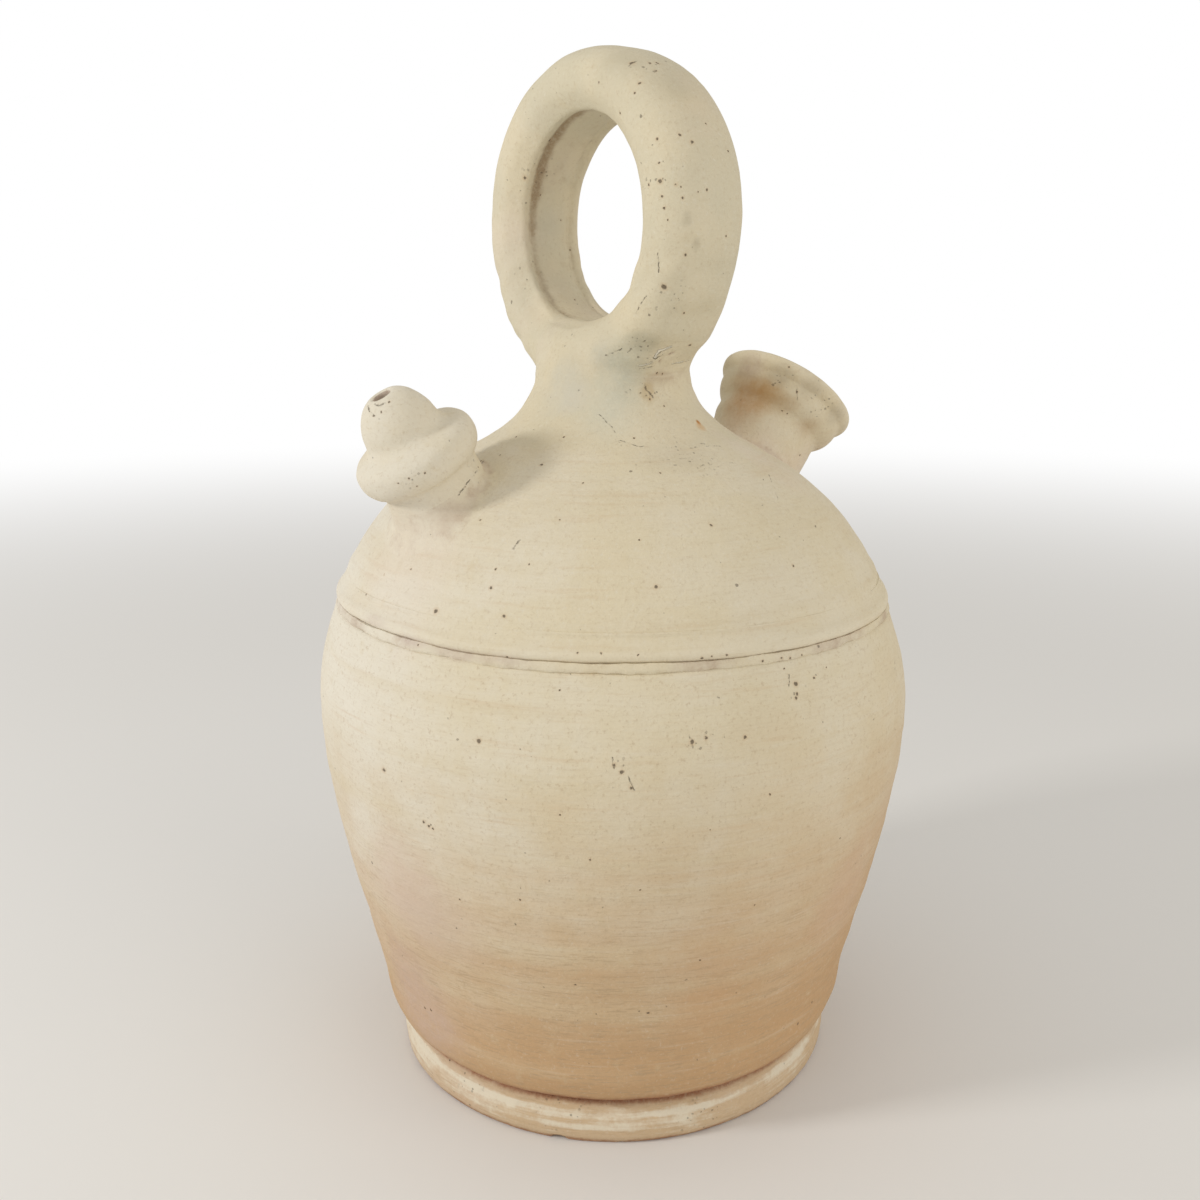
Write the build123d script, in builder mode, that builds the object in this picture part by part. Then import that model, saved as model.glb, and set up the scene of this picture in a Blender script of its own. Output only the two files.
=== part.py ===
"""A white clay drinking jug with a ring handle, a drinking spout and a filler mouth.

Millimetres, +Z up. The origin is the centre of the foot, on the ground. The spout points
towards -X and the filler mouth towards +X. Every piece is one lump of clay as the potter
makes it, with the lap, socket or saddle by which it is luted to its neighbours.
"""
from build123d import *
import os
from math import cos, radians, sin

os.makedirs("parts", exist_ok=True)

# ---------------------------------------------------------------- driving dimensions
WALL = 6.0                      # thickness of the thrown wall
LAP = 3.4                       # thickness of the tongues of the lap joints

FOOT_RADIUS = 82.8              # where the foot meets the ground
FLANGE_RADIUS = 85.5            # widest part of the foot flange
FLANGE_TOP = 13.0
CREASE_RADIUS = 80.6            # bottom of the pinched crease above the flange
CREASE_HEIGHT = 16.4
FLOOR_RADIUS = 72.0             # upper part of the floor slab
FLOOR_BASE_RADIUS = 68.0        # lower part, inside the foot ring's ledge
LEDGE_HEIGHT = 5.0
FLOOR_TOP = 11.0

HEEL_RADIUS = 88.9              # belly wall just above the crease
HEEL_HEIGHT = 24.0
BELLY_RADIUS = 110.5            # widest part of the jug
BELLY_HEIGHT = 139.0
RIM_RADIUS = 103.2              # outer edge of the belly's rim, under the dome
RIM_HEIGHT = 176.3
STEP_RADIUS = 98.6              # outside of the step that the dome laps over
STEP_TOP = 184.5

LIP_RADIUS = 102.4              # the dome's overhanging lip
LIP_HEIGHT = 179.4
SLIP_RADIUS = 100.4             # how far the slip fills the seam
NOTCH_RADIUS = 98.9             # fine notch above the lip
NOTCH_HEIGHT = 188.2
RIB_RADIUS = 97.6               # second, shallow rib
RIB_HEIGHT = 191.0
CROWN_RADIUS = 46.4             # where the stem is let into the dome
CROWN_HEIGHT = 236.2
WAIST_RADIUS = 28.0             # the stem under the ring
WAIST_HEIGHT = 258.0
STEM_HOLLOW = 246.0             # top of the hollow inside the stem

RING_CENTRE = (0.8, 4.4, 311.9)
RING_RADIUS = 57.5              # outside of the ring
RING_THICKNESS = 22.3           # from the outside to the hand opening
RING_BREADTH = 35.0             # along X
RING_SQUARENESS = 2.5           # 2 would be an oval section, more is squarer
ROOT_MIDDLE = 264.0             # the clay thumbed in round the ring's foot
ROOT_TOP = 276.0
ROOT_HALF_WIDTH = 37.0          # along Y, at its top

MOUTH_CREASE = (81.3, 0, 236.0)  # where the mouth's neck meets its flare
MOUTH_RISE = 52.0               # degrees above the horizontal
MOUTH_NECK_RADIUS = 20.5
MOUTH_FLARE_RADIUS = 26.5
MOUTH_RIM_RADIUS = 28.7
MOUTH_LENGTH = 16.8             # from the crease to the rim's end
THROAT_RADIUS = 14.0
THROAT_TOP = 2.0
MOUTH_ROOT = -29.0              # inner end of the neck, inside the dome
MOUTH_COIL_TOP = -12.5
MOUTH_COIL_RADIUS = 26.0

SPOUT_CENTRE = (-81.0, 0, 235.6)  # middle of the spout's collar
SPOUT_RISE = 58.9               # degrees above the horizontal
COLLAR_RADIUS = 21.4
COLLAR_HALF = 5.6               # half the collar's thickness
TEAT_RADIUS = 12.7
TEAT_TIP = 23.0                 # from the middle of the collar to the tip
SPOUT_NECK_RADIUS = 16.8
SPOUT_SEAM = -12.5              # seam between the spout and its boss
SPOUT_SPIGOT_RADIUS = 10.0
SPOUT_SPIGOT_END = -19.5
SPOUT_HOLE_RADIUS = 2.8
SPOUT_HOLE_END = 9.0
BOSS_SPIGOT_RADIUS = 12.5
BOSS_PASSAGE_RADIUS = 7.0
BOSS_FLARE_RADIUS = 27.0
BOSS_ROOT = -29.0               # inner end of the boss, inside the dome


# ---------------------------------------------------------------- helpers
def leaning(origin, rise, side):
    """A plane through a leaning axis: its Y runs along the axis and its X is the radius."""
    angle = radians(rise)
    return Plane(origin, x_dir=(sin(angle), 0, -side * cos(angle)), z_dir=(0, -1, 0))


def axis_of(plane):
    """The leaning axis of such a plane."""
    return Axis(plane.origin, plane.y_dir)


def inside(curve, thickness, count=6):
    """Points a wall's thickness inside an outline that climbs away from the foot."""
    points = []
    for step in range(count + 1):
        place = curve @ (step / count)
        tangent = curve % (step / count)
        points.append((place.X - thickness * tangent.Y, place.Y + thickness * tangent.X))
    return points


def ring_section(count=16):
    """Points round the ring's section, a squarish oval about the middle of the clay."""
    middle = RING_RADIUS - RING_THICKNESS / 2
    points = []
    for step in range(count):
        angle = radians(360 * step / count)
        across = abs(cos(angle)) ** (2 / RING_SQUARENESS) * (1 if cos(angle) > 0 else -1)
        out = abs(sin(angle)) ** (2 / RING_SQUARENESS) * (1 if sin(angle) > 0 else -1)
        points.append((RING_BREADTH / 2 * across, middle + RING_THICKNESS / 2 * out))
    return points


def finish(piece, label):
    """Label a piece and write it to its own file."""
    piece.part.label = label
    export_step(piece.part, f"parts/{label}.step")
    print(f"{label}: {piece.part.volume / 1000:.1f} cm3")


MOUTH_PLANE = leaning(MOUTH_CREASE, MOUTH_RISE, 1)
SPOUT_PLANE = leaning(SPOUT_CENTRE, SPOUT_RISE, -1)

# ---------------------------------------------------------------- shared outlines
# Points are (radius, height). Each curve climbs from the foot towards the crown.
belly_curve = Spline(
    (HEEL_RADIUS, HEEL_HEIGHT),
    (97.2, 60),
    (106, 100),
    (BELLY_RADIUS, BELLY_HEIGHT),
    (108.2, 160),
    (RIM_RADIUS, RIM_HEIGHT),
)
dome_curve = Spline(
    (RIB_RADIUS, RIB_HEIGHT),
    (91.6, 200),
    (83.9, 210),
    (71.5, 221),
    (57, 230.3),
    (CROWN_RADIUS, CROWN_HEIGHT),
)
stem_curve = Spline(
    (CROWN_RADIUS, CROWN_HEIGHT),
    (38.3, 242),
    (32, 248.8),
    (WAIST_RADIUS, WAIST_HEIGHT),
    tangents=[dome_curve % 1, (0, 1)],
)
belly_inside = inside(belly_curve, WALL)
dome_inside = inside(dome_curve, WALL)

# ---------------------------------------------------------------- floor slab
with BuildPart() as base_floor:
    Cylinder(FLOOR_BASE_RADIUS, LEDGE_HEIGHT, align=(Align.CENTER, Align.CENTER, Align.MIN))
    with Locations((0, 0, LEDGE_HEIGHT)):
        Cylinder(FLOOR_RADIUS, FLOOR_TOP - LEDGE_HEIGHT, align=(Align.CENTER, Align.CENTER, Align.MIN))
finish(base_floor, "base_floor")

# ---------------------------------------------------------------- foot ring
with BuildPart() as foot_ring:
    with BuildSketch(Plane.XZ):
        with BuildLine():
            Polyline(
                (CREASE_RADIUS, CREASE_HEIGHT),
                (FLOOR_RADIUS + LAP, CREASE_HEIGHT),
                (FLOOR_RADIUS + LAP, FLOOR_TOP),
                (FLOOR_RADIUS, FLOOR_TOP),
                (FLOOR_RADIUS, LEDGE_HEIGHT),
                (FLOOR_BASE_RADIUS, LEDGE_HEIGHT),
                (FLOOR_BASE_RADIUS, 0),
                (FOOT_RADIUS, 0),
            )
            ThreePointArc((FOOT_RADIUS, 0), (FLANGE_RADIUS, 7), (FLANGE_RADIUS - 0.6, FLANGE_TOP))
            ThreePointArc(
                (FLANGE_RADIUS - 0.6, FLANGE_TOP),
                (FLANGE_RADIUS - 2.2, CREASE_HEIGHT - 1.0),
                (CREASE_RADIUS, CREASE_HEIGHT),
            )
        make_face()
    revolve(axis=Axis.Z)
finish(foot_ring, "foot_ring")

# ---------------------------------------------------------------- belly wall
with BuildPart() as belly_wall:
    with BuildSketch(Plane.XZ):
        with BuildLine():
            ThreePointArc((CREASE_RADIUS, CREASE_HEIGHT), (86.3, 19.2), (HEEL_RADIUS, HEEL_HEIGHT))
            add(belly_curve)
            Polyline(
                (RIM_RADIUS, RIM_HEIGHT),
                (STEP_RADIUS, RIM_HEIGHT),
                (STEP_RADIUS, STEP_TOP),
                (STEP_RADIUS - LAP, STEP_TOP),
                belly_inside[-1],
            )
            Spline(*reversed(belly_inside))
            ThreePointArc(belly_inside[0], (76.2, 18.8), (FLOOR_RADIUS, FLOOR_TOP))
            Polyline(
                (FLOOR_RADIUS, FLOOR_TOP),
                (FLOOR_RADIUS + LAP, FLOOR_TOP),
                (FLOOR_RADIUS + LAP, CREASE_HEIGHT),
                (CREASE_RADIUS, CREASE_HEIGHT),
            )
        make_face()
    revolve(axis=Axis.Z)
finish(belly_wall, "belly_wall")

# ---------------------------------------------------------------- slip in the shoulder seam
with BuildPart() as shoulder_slip:
    with BuildSketch(Plane.XZ):
        with BuildLine():
            Polyline(
                (SLIP_RADIUS, RIM_HEIGHT),
                (STEP_RADIUS, RIM_HEIGHT),
                (STEP_RADIUS, LIP_HEIGHT),
                (SLIP_RADIUS, LIP_HEIGHT),
            )
            ThreePointArc(
                (SLIP_RADIUS, LIP_HEIGHT),
                (SLIP_RADIUS - 0.6, (RIM_HEIGHT + LIP_HEIGHT) / 2),
                (SLIP_RADIUS, RIM_HEIGHT),
            )
        make_face()
    revolve(axis=Axis.Z)
finish(shoulder_slip, "shoulder_slip")

# ---------------------------------------------------------------- shoulder dome
# The full solid under the dome's outer skin, which the necks of mouth and spout are fitted to.
with BuildPart() as dome_core:
    with BuildSketch(Plane.XZ):
        with BuildLine():
            add(dome_curve)
            add(stem_curve)
            Polyline(
                (WAIST_RADIUS, WAIST_HEIGHT),
                (0, WAIST_HEIGHT),
                (0, RIB_HEIGHT),
                (RIB_RADIUS, RIB_HEIGHT),
            )
        make_face()
    revolve(axis=Axis.Z)

with BuildPart() as shoulder_dome:
    with BuildSketch(Plane.XZ):
        with BuildLine():
            Polyline(
                dome_inside[0],
                (STEP_RADIUS - LAP, STEP_TOP),
                (STEP_RADIUS, STEP_TOP),
                (STEP_RADIUS, LIP_HEIGHT),
                (LIP_RADIUS - 0.8, LIP_HEIGHT),
            )
            ThreePointArc(
                (LIP_RADIUS - 0.8, LIP_HEIGHT),
                (LIP_RADIUS, LIP_HEIGHT + 2.4),
                (NOTCH_RADIUS, NOTCH_HEIGHT),
            )
            ThreePointArc(
                (NOTCH_RADIUS, NOTCH_HEIGHT),
                (NOTCH_RADIUS - 0.3, (NOTCH_HEIGHT + RIB_HEIGHT) / 2),
                (RIB_RADIUS, RIB_HEIGHT),
            )
            add(dome_curve)
            Line(dome_curve @ 1, dome_inside[-1])
            Spline(*reversed(dome_inside))
        make_face()
    revolve(axis=Axis.Z)
    with BuildSketch(MOUTH_PLANE):
        with Locations((MOUTH_NECK_RADIUS / 2, MOUTH_ROOT)):
            Rectangle(MOUTH_NECK_RADIUS, -MOUTH_ROOT, align=(Align.CENTER, Align.MIN))
    revolve(axis=axis_of(MOUTH_PLANE), mode=Mode.SUBTRACT)
    with BuildSketch(SPOUT_PLANE):
        with Locations((BOSS_SPIGOT_RADIUS / 2, BOSS_ROOT)):
            Rectangle(BOSS_SPIGOT_RADIUS, -BOSS_ROOT, align=(Align.CENTER, Align.MIN))
    revolve(axis=axis_of(SPOUT_PLANE), mode=Mode.SUBTRACT)
finish(shoulder_dome, "shoulder_dome")

# ---------------------------------------------------------------- ring handle
with BuildPart() as ring_handle:
    with BuildSketch(Plane(RING_CENTRE, x_dir=(1, 0, 0), z_dir=(0, -1, 0))):
        with BuildLine():
            Spline(*ring_section(), periodic=True)
        make_face()
    revolve(axis=Axis(RING_CENTRE, (1, 0, 0)))
finish(ring_handle, "ring_handle")

# ---------------------------------------------------------------- stem under the ring
with BuildPart() as handle_neck:
    with BuildSketch(Plane.XZ):
        with BuildLine():
            add(stem_curve)
            Polyline((WAIST_RADIUS, WAIST_HEIGHT), (0, WAIST_HEIGHT), (0, STEM_HOLLOW))
            Spline((0, STEM_HOLLOW), (20, STEM_HOLLOW - 5), dome_inside[-1], tangents=[(1, 0), (1, -0.8)])
            Line(dome_inside[-1], dome_curve @ 1)
        make_face()
    revolve(axis=Axis.Z)
    add(ring_handle.part, mode=Mode.SUBTRACT)
finish(handle_neck, "handle_neck")

# ---------------------------------------------------------------- clay thumbed in round the ring's foot
with BuildPart() as handle_root_coil:
    with BuildSketch(Plane.XY.offset(WAIST_HEIGHT)):
        Circle(WAIST_RADIUS)
    with BuildSketch(Plane.XY.offset(ROOT_MIDDLE)):
        with Locations((0, RING_CENTRE[1] / 3)):
            Ellipse(WAIST_RADIUS - 3, WAIST_RADIUS + 1.5)
    with BuildSketch(Plane.XY.offset(ROOT_TOP)):
        with Locations((RING_CENTRE[0], RING_CENTRE[1])):
            Ellipse(RING_BREADTH / 2 - 0.6, ROOT_HALF_WIDTH)
    loft()
    add(ring_handle.part, mode=Mode.SUBTRACT)
finish(handle_root_coil, "handle_root_coil")

# ---------------------------------------------------------------- filler mouth
with BuildPart() as filler_mouth:
    with BuildSketch(MOUTH_PLANE):
        with BuildLine():
            Polyline(
                (MOUTH_NECK_RADIUS + 1.8, 0.8),
                (MOUTH_NECK_RADIUS, -1.5),
                (MOUTH_NECK_RADIUS, MOUTH_ROOT),
                (THROAT_RADIUS, MOUTH_ROOT),
                (THROAT_RADIUS, THROAT_TOP),
            )
            Spline(
                (THROAT_RADIUS, THROAT_TOP),
                (17, 7),
                (21.5, 12.6),
                (MOUTH_RIM_RADIUS - 4.4, MOUTH_LENGTH - 0.9),
                tangents=[(0.3, 1), (0.4, 1)],
            )
            ThreePointArc(
                (MOUTH_RIM_RADIUS - 4.4, MOUTH_LENGTH - 0.9),
                (MOUTH_RIM_RADIUS - 2.6, MOUTH_LENGTH),
                (MOUTH_RIM_RADIUS - 0.8, MOUTH_LENGTH - 1.0),
            )
            ThreePointArc(
                (MOUTH_RIM_RADIUS - 0.8, MOUTH_LENGTH - 1.0),
                (MOUTH_RIM_RADIUS, MOUTH_LENGTH - 3.2),
                (MOUTH_FLARE_RADIUS - 0.3, MOUTH_LENGTH - 6.4),
            )
            ThreePointArc(
                (MOUTH_FLARE_RADIUS - 0.3, MOUTH_LENGTH - 6.4),
                (MOUTH_FLARE_RADIUS - 0.7, 5.8),
                (MOUTH_NECK_RADIUS + 1.8, 0.8),
            )
        make_face()
    revolve(axis=axis_of(MOUTH_PLANE))
finish(filler_mouth, "filler_mouth")

with BuildPart() as mouth_root_coil:
    with BuildSketch(MOUTH_PLANE):
        with BuildLine():
            Polyline(
                (MOUTH_COIL_RADIUS, MOUTH_COIL_TOP - 6.5),
                (MOUTH_COIL_RADIUS, MOUTH_ROOT + 2),
                (MOUTH_NECK_RADIUS, MOUTH_ROOT + 2),
                (MOUTH_NECK_RADIUS, MOUTH_COIL_TOP),
            )
            ThreePointArc(
                (MOUTH_NECK_RADIUS, MOUTH_COIL_TOP),
                (MOUTH_NECK_RADIUS + 1.4, MOUTH_COIL_TOP - 4.2),
                (MOUTH_COIL_RADIUS, MOUTH_COIL_TOP - 6.5),
            )
        make_face()
    revolve(axis=axis_of(MOUTH_PLANE))
    add(dome_core.part, mode=Mode.SUBTRACT)
finish(mouth_root_coil, "mouth_root_coil")

# ---------------------------------------------------------------- boss under the spout
with BuildPart() as spout_boss:
    with BuildSketch(SPOUT_PLANE):
        with BuildLine():
            Polyline(
                (SPOUT_NECK_RADIUS + 0.6, SPOUT_SEAM),
                (0, SPOUT_SEAM),
                (0, BOSS_ROOT + 2),
                (BOSS_FLARE_RADIUS, BOSS_ROOT + 2),
                (BOSS_FLARE_RADIUS, SPOUT_SEAM - 8.5),
            )
            ThreePointArc(
                (BOSS_FLARE_RADIUS, SPOUT_SEAM - 8.5),
                (SPOUT_NECK_RADIUS + 3.4, SPOUT_SEAM - 5.6),
                (SPOUT_NECK_RADIUS + 0.6, SPOUT_SEAM),
            )
        make_face()
    revolve(axis=axis_of(SPOUT_PLANE))
    add(dome_core.part, mode=Mode.SUBTRACT)
    with BuildSketch(SPOUT_PLANE):
        with Locations((BOSS_SPIGOT_RADIUS / 2, BOSS_ROOT)):
            Rectangle(BOSS_SPIGOT_RADIUS, SPOUT_SEAM - BOSS_ROOT, align=(Align.CENTER, Align.MIN))
    revolve(axis=axis_of(SPOUT_PLANE))
    with BuildSketch(SPOUT_PLANE):
        with BuildLine():
            Polyline(
                (0, BOSS_ROOT),
                (BOSS_PASSAGE_RADIUS, BOSS_ROOT),
                (BOSS_PASSAGE_RADIUS, SPOUT_SPIGOT_END),
                (SPOUT_SPIGOT_RADIUS, SPOUT_SPIGOT_END),
                (SPOUT_SPIGOT_RADIUS, SPOUT_SEAM),
                (0, SPOUT_SEAM),
                close=True,
            )
        make_face()
    revolve(axis=axis_of(SPOUT_PLANE), mode=Mode.SUBTRACT)
finish(spout_boss, "spout_boss")

# ---------------------------------------------------------------- spout: collar and teat
with BuildPart() as spout:
    with BuildSketch(SPOUT_PLANE):
        with BuildLine():
            Polyline(
                (SPOUT_NECK_RADIUS, -COLLAR_HALF - 1.4),
                (SPOUT_NECK_RADIUS, SPOUT_SEAM),
                (SPOUT_SPIGOT_RADIUS, SPOUT_SEAM),
                (SPOUT_SPIGOT_RADIUS, SPOUT_SPIGOT_END),
                (BOSS_PASSAGE_RADIUS, SPOUT_SPIGOT_END),
                (SPOUT_HOLE_RADIUS, SPOUT_HOLE_END),
                (SPOUT_HOLE_RADIUS, TEAT_TIP - 0.3),
            )
            Spline(
                (SPOUT_HOLE_RADIUS, TEAT_TIP - 0.3),
                (4.6, TEAT_TIP),
                (8.6, 20.2),
                (11.5, 15.6),
                (TEAT_RADIUS, 9.4),
                (TEAT_RADIUS - 0.1, 7.9),
            )
            ThreePointArc((TEAT_RADIUS - 0.1, 7.9), (14.2, 6.9), (17.4, COLLAR_HALF))
            ThreePointArc((17.4, COLLAR_HALF), (COLLAR_RADIUS, 0.4), (19.3, -COLLAR_HALF))
            ThreePointArc((19.3, -COLLAR_HALF), (17.6, -COLLAR_HALF - 0.5), (SPOUT_NECK_RADIUS, -COLLAR_HALF - 1.4))
        make_face()
    revolve(axis=axis_of(SPOUT_PLANE))
finish(spout, "spout")
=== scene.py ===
# %% [markdown]
# # A white clay drinking jug
#
# The jug is thrown in porous white clay and fired without a glaze, so that water seeps
# through and cools what is left. A ring handle stands on the crown, a small spout is on
# one side and a wide mouth for filling is on the other. This lesson takes the measured
# frame of the jug and gives every piece its skin, its hand marks, its dirt and its
# painted light and shade.

# %% The measured frame
from math import cos, pi, radians, sin

import bpy
import numpy as np
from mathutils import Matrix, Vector
from mathutils.bvhtree import BVHTree


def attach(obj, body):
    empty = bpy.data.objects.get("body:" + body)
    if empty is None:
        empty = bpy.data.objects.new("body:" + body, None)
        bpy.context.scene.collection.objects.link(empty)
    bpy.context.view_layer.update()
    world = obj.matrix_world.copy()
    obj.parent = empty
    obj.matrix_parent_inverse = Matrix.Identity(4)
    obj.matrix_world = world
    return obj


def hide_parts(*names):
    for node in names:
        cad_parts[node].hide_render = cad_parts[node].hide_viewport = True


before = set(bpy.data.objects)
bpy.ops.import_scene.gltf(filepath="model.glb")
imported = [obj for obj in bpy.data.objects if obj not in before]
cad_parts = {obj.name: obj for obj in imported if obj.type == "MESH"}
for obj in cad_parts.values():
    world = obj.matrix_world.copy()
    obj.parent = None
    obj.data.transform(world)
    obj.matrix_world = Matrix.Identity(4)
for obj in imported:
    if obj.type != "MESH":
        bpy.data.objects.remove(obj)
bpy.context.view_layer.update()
MM = 0.001
print("nodes to dress:", sorted(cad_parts))

# %% [markdown]
# ## Camera
#
# The lens stands a little above the shoulder, to the front and on the spout's side. Its
# place was worked out from the ellipses of the foot and the shoulder. A lens of 36 mm on
# a 36 mm frame makes the focal length equal to the picture's width.

# %% Camera
CAMERA_SPOT = (-267.2, -354.6, 283.0)
CAMERA_AIM = (0.5844, 0.7756, -0.2385)
PICTURE = 1200
AXIS_COLUMN = 613
LEFT_OF_VIEW = (-0.7986, 0.6018, 0.0)     # the level direction to the camera's left


def place_camera():
    lens = bpy.data.cameras.new("camera")
    lens.lens = 36
    lens.sensor_width = 36
    lens.shift_x = (PICTURE / 2 - AXIS_COLUMN) / PICTURE
    lens.clip_start = 0.01
    camera = bpy.data.objects.new("camera", lens)
    bpy.context.collection.objects.link(camera)
    camera.location = Vector(CAMERA_SPOT) * MM
    camera.rotation_euler = Vector(CAMERA_AIM).to_track_quat("-Z", "Y").to_euler()
    bpy.context.scene.camera = camera
    return camera


camera = place_camera()
print("camera at", [round(v, 3) for v in camera.location])

# %% [markdown]
# ## Throwing marks and lumps
#
# Nothing made by hand is quite round. Adding up a few slow waves in random directions
# gives a soft lumpy height, the same every time because the draws are seeded. Blender's
# noise textures would do the same, but here the shape itself has to follow the height.

# %% Lumps
def lumps(points, size, seed, waves=9):
    """A soft random height, mostly between -1 and 1, that changes over `size` mm."""
    draw = np.random.default_rng(seed)
    height = np.zeros(points.shape[:-1])
    for _ in range(waves):
        heading = draw.normal(size=3)
        heading *= 2 * pi / (size * draw.uniform(0.7, 1.6) * np.linalg.norm(heading))
        height += np.sin(points @ heading + draw.uniform(0, 2 * pi))
    return height / (waves / 2) ** 0.5 / 1.6


def ease(value, start, end):
    """0 before `start`, 1 after `end`, and a soft change between."""
    t = np.clip((value - start) / (end - start), 0, 1)
    return t * t * (3 - 2 * t)


print("lumps at two places:", lumps(np.array([[0.0, 0.0, 0.0], [40.0, 0.0, 0.0]]), 55, 3).round(2))

# %% [markdown]
# ## Turned outlines
#
# The potter's fingers leave an outline that goes round the wheel. Each outline is a few
# measured points, (radius, height) in millimetres, with a smooth line drawn through them.

# %% Outlines
def smooth_line(points, steps=8):
    """A smooth line through the points, `steps` short runs to each stretch."""
    points = np.asarray(points, float)
    gaps = np.linalg.norm(np.diff(points, axis=0), axis=1)
    slopes = np.gradient(points, np.concatenate([[0], np.cumsum(gaps)]), axis=0)
    t = np.linspace(0, 1, steps, endpoint=False)[:, None]
    line = []
    for i, gap in enumerate(gaps):
        line.append(
            (2 * t**3 - 3 * t**2 + 1) * points[i]
            + (t**3 - 2 * t**2 + t) * gap * slopes[i]
            + (3 * t**2 - 2 * t**3) * points[i + 1]
            + (t**3 - t**2) * gap * slopes[i + 1]
        )
    return np.vstack(line + [points[-1:]])


def even_steps(line, gap):
    """The same line with its points about `gap` apart."""
    far = np.concatenate([[0], np.cumsum(np.linalg.norm(np.diff(line, axis=0), axis=1))])
    marks = np.linspace(0, far[-1], max(2, int(round(far[-1] / gap)) + 1))
    return np.stack([np.interp(marks, far, line[:, i]) for i in (0, 1)], 1)


CREASE = (80.6, 16.4)
foot_line = smooth_line(
    [(83.2, 0), (84.3, 1.5), (85.0, 5), (85.0, 9), (84.3, 12), (82.9, 14.4), CREASE]
)
belly_line = smooth_line(
    [CREASE, (84.7, 17.5), (87.6, 20.0), (89.5, 24), (92.6, 40), (97.2, 60), (102.0, 80),
     (106.0, 100), (109.2, 120), (110.5, 139), (110.0, 150), (108.2, 160), (105.8, 168),
     (103.6, 174.4), (103.2, 175.6), (102.8, 176.4), (102.2, 177.0), (100.8, 177.3)]
)
dome_line = smooth_line(
    [(99.4, 179.5), (101.2, 179.4), (102.2, 180.3), (102.4, 181.6), (101.6, 183.3),
     (100.2, 184.9), (99.2, 186.6), (98.4, 188.2), (97.9, 189.6), (97.5, 190.8),
     (96.5, 192.3), (95.0, 194.5), (93.9, 196.5), (92.6, 198.6), (90.0, 202.4),
     (86.9, 206.5), (84.0, 210.0), (80.2, 214.0), (76.2, 217.5), (71.6, 221.2),
     (64.8, 225.9), (57.0, 230.3), (51.5, 233.4), (46.4, 236.2)]
)
stem_line = smooth_line(
    [(46.4, 236.2), (40.6, 240.0), (36.1, 244.0), (32.7, 248.0), (30.2, 252.0),
     (28.4, 256.0), (28.0, 259.0), (28.3, 264.0), (29.3, 269.0)]
)
print("jug outline points:", len(foot_line) + len(belly_line) + len(dome_line) + len(stem_line))

# %% [markdown]
# ## Soft clay as distances
#
# Where the ring, the spout and the mouth are luted on, wet clay is smeared until there is
# no edge left. A boolean would leave a hard corner and a bevel would miss half of it. So
# each lump is written as a distance: minus inside the clay, plus in the air. Two lumps
# are then joined by a minimum that rounds itself off where both skins are close.

# %% Distance tables
TABLE_STEP = 0.5


def distance_table(outline, low, high, step=TABLE_STEP):
    """Distances from a closed outline on a grid of (radius, height) places."""
    columns = np.arange(low[0], high[0] + step, step)
    rows = np.arange(low[1], high[1] + step, step)
    spots = np.stack(np.meshgrid(columns, rows, indexing="ij"), -1).reshape(-1, 2)
    nearest = np.full(len(spots), np.inf)
    inside = np.zeros(len(spots), bool)
    for start, end in zip(outline, np.roll(outline, -1, axis=0)):
        run = end - start
        length = run @ run
        if length < 1e-12:
            continue
        along = np.clip((spots - start) @ run / length, 0, 1)
        nearest = np.minimum(nearest, np.linalg.norm(spots - start - along[:, None] * run, axis=1))
        crosses = (start[1] > spots[:, 1]) != (end[1] > spots[:, 1])
        if start[1] != end[1]:
            reach = start[0] + (spots[:, 1] - start[1]) * run[0] / (end[1] - start[1])
            inside ^= crosses & (spots[:, 0] < reach)
    table = np.where(inside, -nearest, nearest).reshape(len(columns), len(rows))
    return table, np.array(low, float), step


def read_table(entry, across, up):
    """The table's distance at each place, blended between its grid points."""
    table, low, step = entry
    a = np.clip((across - low[0]) / step, 0, table.shape[0] - 1.001)
    b = np.clip((up - low[1]) / step, 0, table.shape[1] - 1.001)
    i, j = a.astype(int), b.astype(int)
    a, b = a - i, b - j
    return (table[i, j] * (1 - a) + table[i + 1, j] * a) * (1 - b) + (
        table[i, j + 1] * (1 - a) + table[i + 1, j + 1] * a
    ) * b


def soft_union(one, other, reach):
    """Joins two lumps: where both skins are within `reach`, clay fills the angle."""
    close = np.maximum(reach - np.abs(one - other), 0) / reach
    return np.minimum(one, other) - close**3 * reach / 6


print("grid of a distance table:", TABLE_STEP, "mm")

# %% [markdown]
# ## The jug's body and the stem
#
# The upper half was thrown by itself and set on slightly out of level, so the shoulder
# seam is lower on one side. The stem starts round and is squeezed to an oval under the
# ring. Both are done by asking the turned table at a shifted or squeezed place.

# %% Body and stem
SEAM_DROP = 1.35                 # how far the seam falls on the low side, 100 mm from the middle
LOW_SIDE = (-LEFT_OF_VIEW[0], -LEFT_OF_VIEW[1])
RING_MIDDLE = np.array([0.8, 4.4, 311.9])
POST_TOP = 275.5
# How the stem is squeezed, from its foot upwards: height, half-width along X and Y, shift in Y.
STEM_SQUEEZE = np.array(
    [(256, 28.4, 28.4, 0.0), (260, 27.3, 28.2, 0.7), (264, 25.2, 29.6, 1.7),
     (268, 22.6, 31.8, 2.6), (272, 19.8, 34.4, 3.5), (278, 16.6, 38.0, 4.4)]
)

post_line = np.array([(29.6, 272.0), (28.0, 274.4), (20.0, POST_TOP), (0, POST_TOP)])
jug_outline = np.vstack(
    [[(0, 150)], belly_line[belly_line[:, 1] > 150], dome_line[2:], stem_line[1:], post_line]
)
jug_table = distance_table(jug_outline, (0, 160), (125, 300))
print("jug table:", jug_table[0].shape, "places")


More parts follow.
